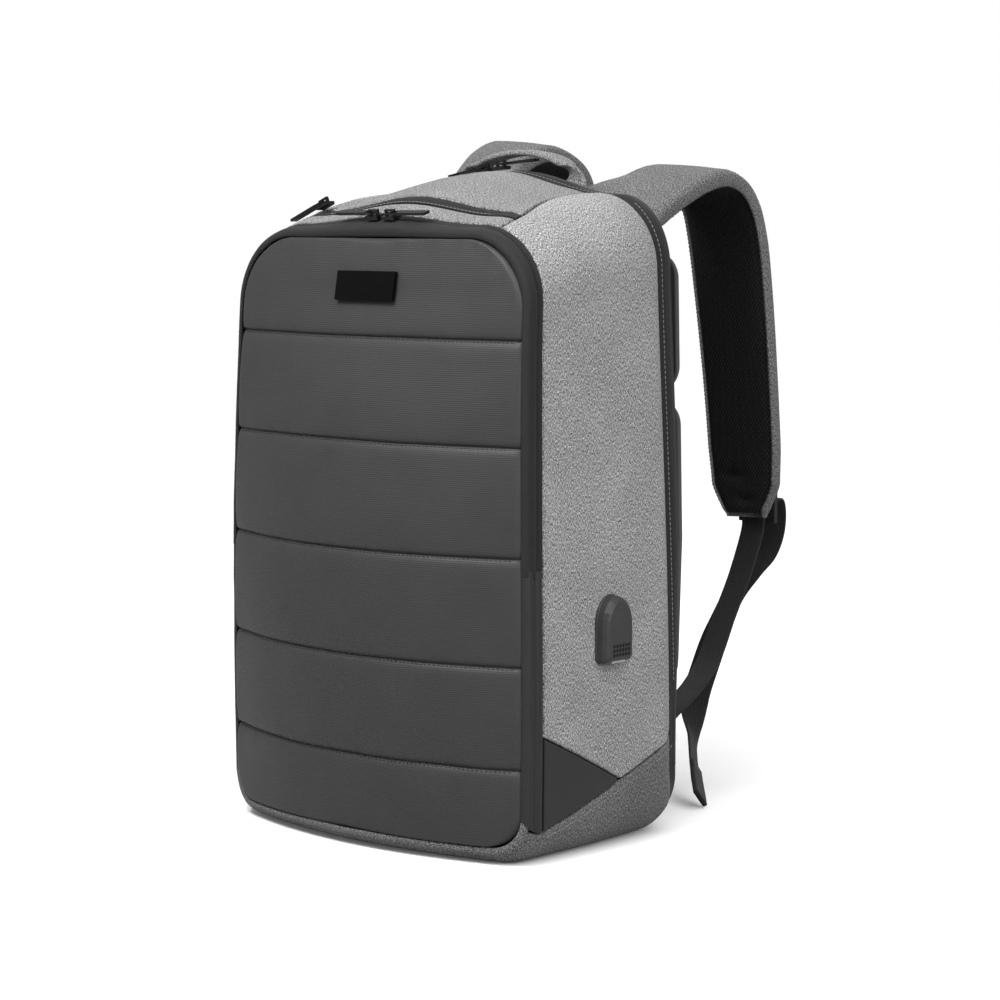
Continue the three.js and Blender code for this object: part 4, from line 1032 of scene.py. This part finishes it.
def lean(z):
    return -LEAN * (z - LEAN_Z)


def flat_y(y):
    return lambda x, z: y + lean(z) + 0 * x


o = plate("back_face", narrowed(half_outline(1.0, 3.6, HINGE_Z + 3), 84), flat_y(85.2), flat_y(80.0), MESH, r=2.4, rings=16, puff=0.0, dense=3.0, wave=0.3)
place(o, "back_panel", ["back_cover"])
o = plate("back_lower_strip", narrowed(half_outline(1.0, 3.6, 9.5, HINGE_Z + 1), 78), flat_y(80.4), flat_y(76.0), BAND, r=1.8, rings=8, puff=0.6, dense=3.0, wave=0.3)
place(o, "bag", ["lower_back_cover"])


def mesh_holes(u, v, pu=3.0, pv=3.9):
    """how much of a hole is at u, v: hexagonally set oval holes"""
    r = np.floor(v / pv * 2)
    best = np.zeros_like(u)
    for dr in (-1, 0, 1, 2):
        row = r + dr
        cv = row * pv / 2
        cu = (np.round(u / pu - (row % 2) / 2) + (row % 2) / 2) * pu
        q = ((u - cu) / (0.36 * pu)) ** 2 + ((v - cv) / (0.34 * pv)) ** 2
        best = np.maximum(best, smooth(1.35 - q))
    return best


def back_pad(name, x0, x1, z0, z1, t, corner=16.0):
    nx, nz = int((x1 - x0) / 1.15), int((z1 - z0) / 1.15)
    p, q = np.meshgrid(np.linspace(-1, 1, nx), np.linspace(-1, 1, nz), indexing="ij")
    hx, hz = (x1 - x0) / 2, (z1 - z0) / 2
    m = np.maximum(np.abs(p), np.abs(q)) + 1e-9
    bx, bz = p / m * hx, q / m * hz  # on the square's edge
    ex, ez = np.maximum(np.abs(bx) - (hx - corner), 0), np.maximum(np.abs(bz) - (hz - corner), 0)
    # pull the corner of the square onto the quarter circle
    over = np.hypot(ex, ez)
    f = np.where((ex > 0) & (ez > 0) & (over > corner), corner / np.maximum(over, 1e-9), 1.0)
    bx = np.sign(bx) * (np.minimum(np.abs(bx), hx - corner) + ex * f)
    bz = np.sign(bz) * (np.minimum(np.abs(bz), hz - corner) + ez * f)
    X, Z = (x0 + x1) / 2 + m * bx, (z0 + z1) / 2 + m * bz
    edge = (1 - m) * np.minimum(hx, hz)
    crown = (1 - clamp(1 - edge / 15, 0, 1) ** 2.6) ** 0.6
    # the hole mask sinks the mesh at each hole and also darkens it there in the mesh material, as painted shade
    hole = mesh_holes(X, Z) * smooth((edge - 2.5) / 2)
    rim = 1.1 * np.exp(-(((edge - 3.2) / 1.1) ** 2))
    Y = 84.9 + 2.2 + (t - 2.4) * crown - rim - 0.75 * hole + ripple(X, Z, 30, 0.35) * smooth(edge / 12) - 1.8 * tuck(edge, 1.4)
    outer = np.stack([X, Y + lean(Z), Z], -1)
    inner = np.stack([X, 84.7 + lean(Z) + 0 * X, Z], -1)
    outer[..., 0] *= draw_in(Z, 22)
    inner[..., 0] *= draw_in(Z, 22)
    return solid(name, outer, inner, MESH, np.stack([X, Z], -1), {"hole": hole})


for tag, sx in (("right", 1), ("left", -1)):
    for label, z0, z1 in (("upper", 301, 394), ("lower", 96, 295)):
        a, b = (14, 142) if sx > 0 else (-142, -14)
        o = back_pad("pad_%s_%s" % (label, tag), a, b, z0, z1, 14)
        place(o, "back_panel", ["back_pad_%s_%s" % (label, tag)])
        ring = []
        cx, cz, hx, hz, c = (a + b) / 2, (z0 + z1) / 2, 64 - 3.4, (z1 - z0) / 2 - 3.4, 13.0
        for qx, qz, a0 in ((1, 1, 0), (-1, 1, 90), (-1, -1, 180), (1, -1, 270)):
            for d in np.linspace(0, 90, 7):
                an = math.radians(a0 + d)
                ring.append((cx + qx * (hx - c) + c * math.cos(an), cz + qz * (hz - c) + c * math.sin(an)))
        ring = np.array([*ring, ring[0]])
        dens = np.array([lerp(ring[i], ring[i + 1], f) for i in range(len(ring) - 1) for f in np.linspace(0, 1, 12, endpoint=False)])
        P = np.stack([dens[:, 0] * draw_in(dens[:, 1], 22), 87.6 + lean(dens[:, 1]), dens[:, 1]], -1)
        place(stitches("pad_stitch_%s_%s" % (label, tag), P, np.tile([0.0, 1.0, 0.0], (len(P), 1)), THREAD_GREY, rad=0.36, lift=0.3), "back_panel")

yoke = [(-126, 396), (126, 396), (123, 410), (112, 424), (92, 431), (60, 434), (-60, 434), (-92, 431), (-112, 424), (-123, 410)]
o = plate("yoke", narrowed(yoke, 86), flat_y(88.6), flat_y(84.9), HEATHER, r=1.4, rings=8, dense=2.4, wave=0.3)
place(o, "back_panel", ["strap_yoke"])
line = np.array([lerp(np.array((-121.0, 399.5)), np.array((121.0, 399.5)), f) for f in np.linspace(0, 1, 120)])
line[:, 0] *= draw_in(line[:, 1], 20)
place(stitches("yoke_stitch", np.stack([line[:, 0], 88.5 + lean(line[:, 1]), line[:, 1]], -1), np.tile([0.0, 1.0, 0.0], (120, 1)), THREAD_GREY), "back_panel")

for tag, k in (("right", 1), ("left", -1)):
    tri = narrowed([(k * 88, 50), (k * 128, 50), (k * 128, 70)], 86)
    o = plate("tab_" + tag, tri if k > 0 else tri[::-1], flat_y(87.9), flat_y(84.5), HEATHER, r=1.0, rings=4, dense=1.6)
    place(o, "back_panel", ["anchor_tab_" + tag])
o = plate("divider_front", half_outline(0.13, 7, 8.5), lambda x, z: -57.3 + 0 * x, lambda x, z: -54.2 + 0 * x, LINING, r=1.1, rings=14, dense=4, wave=0.7)
place(o, "bag", ["front_divider"])
o = plate("divider_middle", half_outline(0.34, 6, 8.5), lambda x, z: -30.3 + 0 * x, lambda x, z: -27.2 + 0 * x, LINING, r=1.1, rings=14, dense=4, wave=0.7)
place(o, "bag", ["middle_divider"])

# laptop sleeve: quilted wall, two gussets and a floor, bound along its top
def sleeve_wall():
    a, b = spaced(60, 236, 2), spaced(64, 256, 2)
    A, B = np.meshgrid(a, b, indexing="ij")
    X, Z = lerp(-127, 127, A), lerp(56, 312, B)
    d = np.minimum(np.minimum(X + 127, 127 - X), np.minimum(Z - 56, 312 - Z))
    quilt_ = 0.9 * (np.exp(-((np.mod(X + Z, 44) - 22) ** 2) / 5) + np.exp(-((np.mod(X - Z, 44) - 22) ** 2) / 5))
    Y = 41.6 + tuck(d, 2.0) + quilt_ * smooth(d / 8)
    X2 = X * draw_in(Z, Y - BACK_Y)
    return solid("sleeve_wall", np.stack([X2, Y + lean(Z), Z], -1), np.stack([X2, 46.0 + lean(Z), Z], -1), LINING, np.stack([X, Z], -1))


place(sleeve_wall(), "back_panel", ["laptop_sleeve"])


def block(name, lo, hi, material, body, r=1.2, n=(4, 4)):
    """a thin soft-edged slab between two corners"""
    lo, hi = np.array(lo, float), np.array(hi, float)
    size = hi - lo
    thin = int(np.argmin(size))
    u, v = [i for i in range(3) if i != thin]
    A, B = np.meshgrid(spaced(max(6, int(size[u] / 8)), size[u], r), spaced(max(6, int(size[v] / 8)), size[v], r), indexing="ij")
    P = np.zeros(A.shape + (3,))
    P[..., u], P[..., v] = lerp(lo[u], hi[u], A), lerp(lo[v], hi[v], B)
    d, U, V = edge_dist(P)
    Q = P.copy()
    P[..., thin] = hi[thin] - tuck(d, min(r, size[thin] / 2.2))
    Q[..., thin] = lo[thin] + tuck(d, min(r, size[thin] / 2.2))
    for M in (P, Q):
        M[..., 0] *= draw_in(M[..., 2], M[..., 1] - BACK_Y)
        M[..., 1] += lean(M[..., 2])
    return place(solid(name, P, Q, material, np.stack([U, V], -1)), body)


for name, lo_, hi_ in (
    ("sleeve_floor", (-127, 45, 56), (127, 76, 60)),
    ("sleeve_gusset_right", (123.5, 45, 59), (127, 76, 312)),
    ("sleeve_gusset_left", (-127, 45, 59), (-123.5, 76, 312)),
):
    block(name, lo_, hi_, LINING, "back_panel")
edge = np.array([[-126.5, 43.6, 312.0], [-60, 43.6, 312.4], [0, 43.6, 312.5], [60, 43.6, 312.4], [126.5, 43.6, 312.0]])
edge[:, 1] += lean(edge[:, 2])
C, T, L = catmull(edge, 60)
W, Nn = frames(T, np.tile([0.0, 1.0, 0.0], (len(C), 1)))
place(loft("sleeve_binding", C, W, Nn, np.repeat(flat_section(5.6, 3.4, 1.5)[None], 60, 0), WEB, np.linspace(0, L, 60)), "back_panel")


# ------------------------------------------------------------------ top handle
HANDLE = [(-51, 79.3, 436), (-50.5, 79.4, 442), (-47, 80, 450), (-37, 80.5, 456.5), (-20, 80.8, 461), (-3, 81, 462.5), (14, 80.8, 461), (31, 80.5, 456.5), (41, 80, 450), (44.5, 79.4, 442), (45, 79.3, 436)]
NH = 110
C, T, L = catmull(HANDLE, NH)
u = np.linspace(0, 1, NH)
k = clamp((np.minimum(u, 1 - u) - 0.04) / 0.16, 0, 1)
an = k * k * (3 - 2 * k) * PI / 2
W0 = np.stack([np.cos(an) * np.where(u < 0.5, 1, -1), np.sin(an), 0 * u], -1)
W, Nn = frames(T, W0)
up = np.sign(np.sum(Nn * np.array([0, 0, 1.0]), -1)[NH // 2]) or 1.0
sect = []
for i in range(NH):
    w = 18.0 + 2.5 * smooth((0.09 - min(u[i], 1 - u[i])) / 0.09)
    s_ = flat_section(w, 3.4, 1.5)
    s_[:, 1] += 0.5 * (1 - (2 * s_[:, 0] / w) ** 2) * np.sign(s_[:, 1] + 1e-9) * smooth(min(u[i], 1 - u[i]) / 0.1)
    sect.append(s_)
handle = loft("carry_handle", C, W, Nn, np.array(sect), HEATHER_TOP_PAINTED_SHADE, np.linspace(0, L, NH))
place(handle, "handle", ["top_handle"])
for tag, off_ in (("front", -6.6), ("rear", 6.6)):
    sel = slice(6, NH - 6)
    P = C[sel] + W[sel] * off_ + Nn[sel] * up * 1.9
    place(stitches("handle_stitch_" + tag, P, Nn[sel] * up, THREAD_GREY, pitch=3.2, size=2.2, rad=0.24, lift=0.0), "handle")


# ------------------------------------------------------------------ shoulder straps
STRAPS = {
    "right": [(75, 91.5, 411), (75, 97.5, 419.5), (75, 113, 429.5), (75, 134, 438.5), (75, 155, 445), (75, 176, 446.5), (75.5, 194, 438.5), (76.5, 205, 424), (78, 211, 402), (80.5, 215, 365), (84, 218, 315), (87.5, 219.5, 265), (89.5, 220, 232), (90.5, 220, 201)],
    "left": [(-75, 91.5, 411), (-75, 97, 420), (-75, 107, 433), (-75, 121, 447), (-75, 139, 459.5), (-75.5, 160, 465.5), (-76, 181, 462), (-77, 199, 452), (-78, 209, 434), (-78, 213, 405), (-78, 213, 365), (-78.5, 210, 315), (-79, 207, 265), (-79.5, 204, 232), (-80, 203, 207)],
}
ANCHOR = {"right": (106, 94.5, 66), "left": (-106, 94.5, 66)}
TAIL = {
    "right": [(91, 243, 212), (91.5, 249, 212), (91, 253, 203), (89.5, 253, 186), (86.5, 248, 171), (80, 239, 158), (72.5, 228, 141), (68, 216, 117), (66.5, 203, 92), (69, 188, 70), (76, 175, 52), (87, 162, 36), (98, 151, 21), (109, 141, 8)],
    "left": [(-81, 225, 220), (-84, 229, 227), (-91, 234, 223), (-97, 232, 204), (-98, 224, 176), (-99, 212, 146), (-101, 199, 116), (-103, 188, 86), (-104, 180, 56), (-105, 174, 30), (-106, 170, 9)],
}


def strap_width(u):
    return table([0, 0.12, 0.45, 0.85, 0.93, 1], [58, 60, 66, 60, 56, 34], u)


def strap_roll(u, right):
    k = clamp(1 - u / 0.38, 0, 1)
    return 0.27 * k * k * (3 - 2 * k) if right else 0.3 * k * k - 0.13 * np.sin(PI * clamp(u / 0.7, 0, 1))


for tag, pts in STRAPS.items():
    right = tag == "right"
    k = 1 if right else -1
    NS = 420
    C, T, L = catmull(pts, NS)
    u = np.linspace(0, 1, NS)
    roll = strap_roll(u, right)
    W, Nn = frames(T, np.stack([np.cos(roll), 0 * u, -k * np.sin(roll)], -1))
    width = strap_width(u)
    end = smooth((1 - u) * L / 7) * 0.55 + 0.45  # the pad thins towards its very end
    rise = smooth(u * L / 16) * 0.4 + 0.6
    # cover, foam and binding: a tray whose rim wraps round the mesh; the root widens towards the middle of the back
    LIP_IN, LIP_OUT = 1.7, 3.0
    flare = 17 * smooth((0.15 - u) / 0.13)
    sect = []
    for i in range(NS):
        h = width[i] / 2
        e = end[i] * rise[i]
        halves = []
        for lip, hh in ((LIP_IN, h + flare[i]), (LIP_OUT, h)):
            tray = [(lip, 1.6 * e), (lip * 0.93, 4.6 * e), (lip * 0.78, 5.6 * e), (lip * 0.5, 5.9 * e), (lip * 0.25, 5.2 * e), (lip * 0.06, 3.9 * e), (0, 2.0 * e)]
            low = [(0.1, -1.2 * e), (0.7, -3.4 * e), (2.0, -5.0 * e), (4.2, -5.9 * e)]
            mid = [(hh * f, -(6.8 - 0.55 * (1 - f) ** 2) * e) for f in (0.2, 0.4, 0.6, 0.8, 1.0)]
            halves.append([(-hh + a, b) for a, b in tray + low + mid])
        inner_, outer_ = halves
        outer_ = [(-a, b) for a, b in outer_[:-1]][::-1]
        both = inner_ + outer_
        sect.append(both if right else [(-a, b) for a, b in both])
    sect = np.array(sect)
    # slack in the cover
    par = np.linspace(0, 1, sect.shape[1])
    for j in range(sect.shape[1]):
        face = sect[:, j, 1] < -4
        sect[:, j, 1] += np.where(face, ripple(u * L, sect[:, j, 0], 26, 0.3), 0)
    cover = loft("strap_pad_" + tag, C, W, Nn, sect, HEATHER_STRAP_PAINTED_SHADE, u * L)
    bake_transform(cover)
    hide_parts("strap_root_" + tag, "strap_cover_" + tag)
    # spacer mesh face
    a = np.linspace(-1, 1, 76)
    uu = np.linspace(0.004, 0.992, 470)
    Cm, Tm, _ = catmull(pts, uu)
    rl = strap_roll(uu, right)
    Wm, Nm = frames(Tm, np.stack([np.cos(rl), 0 * uu, -k * np.sin(rl)], -1))
    half = strap_width(uu) / 2
    fl = 17 * smooth((0.15 - uu) / 0.13)
    w0, w1 = -(half + fl - LIP_IN + 0.4), half - LIP_OUT + 0.5
    if not right:
        w0, w1 = -w1, -w0
    XX = lerp(w0[:, None], w1[:, None], (a[None, :] + 1) / 2)
    VV = np.repeat((uu * L)[:, None], len(a), 1)
    edge = np.minimum(np.minimum(XX - w0[:, None], w1[:, None] - XX), np.minimum(VV, L * 0.992 - VV + 1))
    # the hole mask sinks the mesh at each hole and also darkens it there in the mesh material, as painted shade
    hole = mesh_holes(XX, VV, 2.7, 4.1) * smooth((edge - 0.8) / 1.6)
    e = np.interp(uu, u, end * rise)[:, None]
    H = (3.6 + 2.6 * (1 - clamp(1 - edge / 9, 0, 1) ** 2.2)) * e - 0.8 * hole * e
    for zt_, xt in ((232, -0.42), (214, 0.1)):  # bar tacks that hold the lock's webbing pull the mesh in
        ui = float(np.interp(-zt_, -C[:, 2][NS // 2 :], u[NS // 2 :]))
        g = np.exp(-(((VV - ui * L) / 4.0) ** 2) - (((XX - xt * 20) / 9.0) ** 2))
        H = H - 3.0 * g
    outer = Cm[:, None] + Wm[:, None] * XX[..., None] + Nm[:, None] * H[..., None]
    inner = Cm[:, None] + Wm[:, None] * XX[..., None] + Nm[:, None] * (1.2 * e)[..., None]
    face = solid("strap_lining_" + tag, outer, inner, MESH, np.stack([XX, VV], -1), {"hole": hole})
    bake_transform(face)
    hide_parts("strap_mesh_" + tag)
    # stitching along the binding, on the outer face
    for row, sgn in (("inner", -1), ("outer", 1)):
        sel = slice(30, NS - 12)
        q = C[sel] + W[sel] * (sgn * (width[sel] / 2 - 4.6))[:, None] - Nn[sel] * (6.05 * (end * rise)[sel])[:, None]
        place(stitches("strap_stitch_%s_%s" % (row, tag), q, -Nn[sel], THREAD_GREY, pitch=3.3, size=2.3, rad=0.26, lift=0.05), "strap_" + tag)
        q = C[sel] + W[sel] * (sgn * (width[sel] / 2 - (1.5 if sgn * k > 0 else 0.9)))[:, None] + Nn[sel] * (5.95 * (end * rise)[sel])[:, None]
        place(stitches("binding_stitch_%s_%s" % (row, tag), q, Nn[sel], THREAD_DARK, pitch=3.0, size=2.0, rad=0.28, lift=0.1), "strap_" + tag)

    # ---- webbing
    e3 = pts[-1]
    Lk = (e3[0], e3[1] + 13, e3[2] + 8)
    A3 = ANCHOR[tag]
    dx, dy, dz = A3[0] - Lk[0], A3[1] - Lk[1], A3[2] - Lk[2]
    if right:
        lead = [A3, (A3[0] + 1, 111, 76), (104, 140, 89), (97, 168, 105), (91, 192, 130), (89, 214, 160)]
    else:
        lead = [A3, (Lk[0] + 0.86 * dx, Lk[1] + 0.84 * dy, Lk[2] + 0.86 * dz), (Lk[0] + 0.55 * dx, Lk[1] - 2 + 0.54 * dy, Lk[2] + 0.66 * dz), (Lk[0] + 0.2 * dx, Lk[1] - 7 + 0.16 * dy, Lk[2] + 0.36 * dz)]
    lead = lead + [(Lk[0], Lk[1] - 6.6, Lk[2] - 18), (Lk[0], Lk[1] - 5.2, Lk[2] - 10.5), (Lk[0], Lk[1] - 2.4, Lk[2] - 6.2), (Lk[0], Lk[1] + 1.2, Lk[2] - 4.6), (Lk[0], Lk[1] + 5, Lk[2] - 2.2)]
    cut = len(lead) - 3
    whole = lead + TAIL[tag]
    NW = 420
    C, T, Lw = catmull(whole, NW)
    u = np.linspace(0, 1, NW)
    ang = 0.72 * smooth((u - 0.66) / 0.1) + 1.35 * smooth((u - 0.8) / 0.1) if right else 0 * u
    W, Nn = frames(T, np.stack([np.cos(ang), np.sin(ang), 0 * u], -1))
    sec = flat_section(20, 1.6, 0.75)
    split = int(np.argmin(np.linalg.norm(C - np.array(lead[cut]), axis=1)))
    first = slice(0, split + 1)
    o = loft("web_lead_" + tag, C[first], W[first], Nn[first], np.repeat(sec[None], split + 1, 0), WEB, (u * Lw)[first])
    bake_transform(o)
    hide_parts("webbing_" + tag)
    rest = slice(split, NW)
    o = loft("web_tail_" + tag, C[rest], W[rest], Nn[rest], np.repeat(sec[None], NW - split, 0), WEB, (u * Lw)[rest])
    place(o, "strap_" + tag)
    # the end, folded over twice and sewn, is laid as a thicker band over the last stretch
    tip = slice(NW - 26, NW)
    s2 = flat_section(20.6, 3.6, 1.3)
    o = loft("web_end_" + tag, C[tip] + Nn[tip] * 0.9, W[tip], Nn[tip], np.repeat(s2[None], 26, 0), WEB, (u * Lw)[tip])
    place(o, "strap_" + tag)
    # loop that holds the lock
    lp = [(Lk[0], Lk[1] - 3.4, Lk[2] + 30), (Lk[0], Lk[1] - 3.9, Lk[2] + 18), (Lk[0], Lk[1] - 3.6, Lk[2] + 10), (Lk[0], Lk[1] - 2.3, Lk[2] + 6.6), (Lk[0], Lk[1] + 0.2, Lk[2] + 5.2), (Lk[0], Lk[1] + 2.7, Lk[2] + 7), (Lk[0], Lk[1] + 3.6, Lk[2] + 11), (Lk[0], Lk[1] + 1.8, Lk[2] + 17), (Lk[0], Lk[1] - 0.2, Lk[2] + 22), (Lk[0], Lk[1] - 1.1, Lk[2] + 30)]
    C, T, L2 = catmull(lp, 90)
    W, Nn = frames(T, np.tile([1.0, 0.0, 0.0], (90, 1)))
    o = loft("lock_strap_" + tag, C, W, Nn, np.repeat(sec[None], 90, 0), WEB, np.linspace(0, L2, 90))
    place(o, "strap_" + tag, ["lock_loop_" + tag])


# ------------------------------------------------------------------ floor and light
fm = Mat("floor", (0.97, 0.97, 0.97), 0.9, spec=0.0)
seen = fm.node("ShaderNodeLightPath").outputs["Is Camera Ray"]
fm.colour(fm.ramp(seen, [(0.0, 0.42), (1.0, 0.97)]))
fm.b.inputs["Emission Color"].default_value = (1, 1, 1, 1)
fm.nt.links.new(fm.math("MULTIPLY", seen, 0.06), fm.b.inputs["Emission Strength"])
verts = [(-6000, -6000, 0), (6000, -6000, 0), (6000, 6000, 0), (-6000, 6000, 0)]
floor = make("floor", verts, [(0, 1, 2, 3)], fm.m, None, fix=False)
world = bpy.data.worlds.new("studio")
SCENE.world = world
world.use_nodes = True
bg = world.node_tree.nodes["Background"]
bg.inputs["Color"].default_value = (1, 1, 1, 1)
# the room lights the object softly; what the camera sees of it is plain white
path = world.node_tree.nodes.new("ShaderNodeLightPath")
amount = world.node_tree.nodes.new("ShaderNodeMapRange")
amount.inputs["To Min"].default_value = 0.36
amount.inputs["To Max"].default_value = 1.0
world.node_tree.links.new(path.outputs["Is Camera Ray"], amount.inputs["Value"])
world.node_tree.links.new(amount.outputs["Result"], bg.inputs["Strength"])
sun = bpy.data.lights.new("soft_sky", "SUN")
sun.energy, sun.angle = 2.2, math.radians(60)
sun_o = bpy.data.objects.new("soft_sky", sun)
sun_o.rotation_mode = "QUATERNION"
sun_o.rotation_quaternion = Vector((-0.38, 0.3, -0.9)).to_track_quat("-Z", "Y")
SCENE.collection.objects.link(sun_o)


def lamp(name, at, size, power, aim=(0, 0, 0.22)):
    d = bpy.data.lights.new(name, "AREA")
    d.shape, d.size, d.energy = "DISK", size, power
    o = bpy.data.objects.new(name, d)
    o.location = at
    o.rotation_mode = "QUATERNION"
    o.rotation_quaternion = (Vector(aim) - Vector(at)).to_track_quat("-Z", "Y")
    SCENE.collection.objects.link(o)
    return o


lamp("key", (1.75, -0.6, 0.95), 1.0, 15.5)
lamp("front", (-0.05, -0.7, 1.05), 0.5, 11, (0, -0.06, 0.5))
lamp("rim", (-0.6, 1.8, 1.4), 1.0, 4.5)
SCENE.view_settings.view_transform = "Standard"
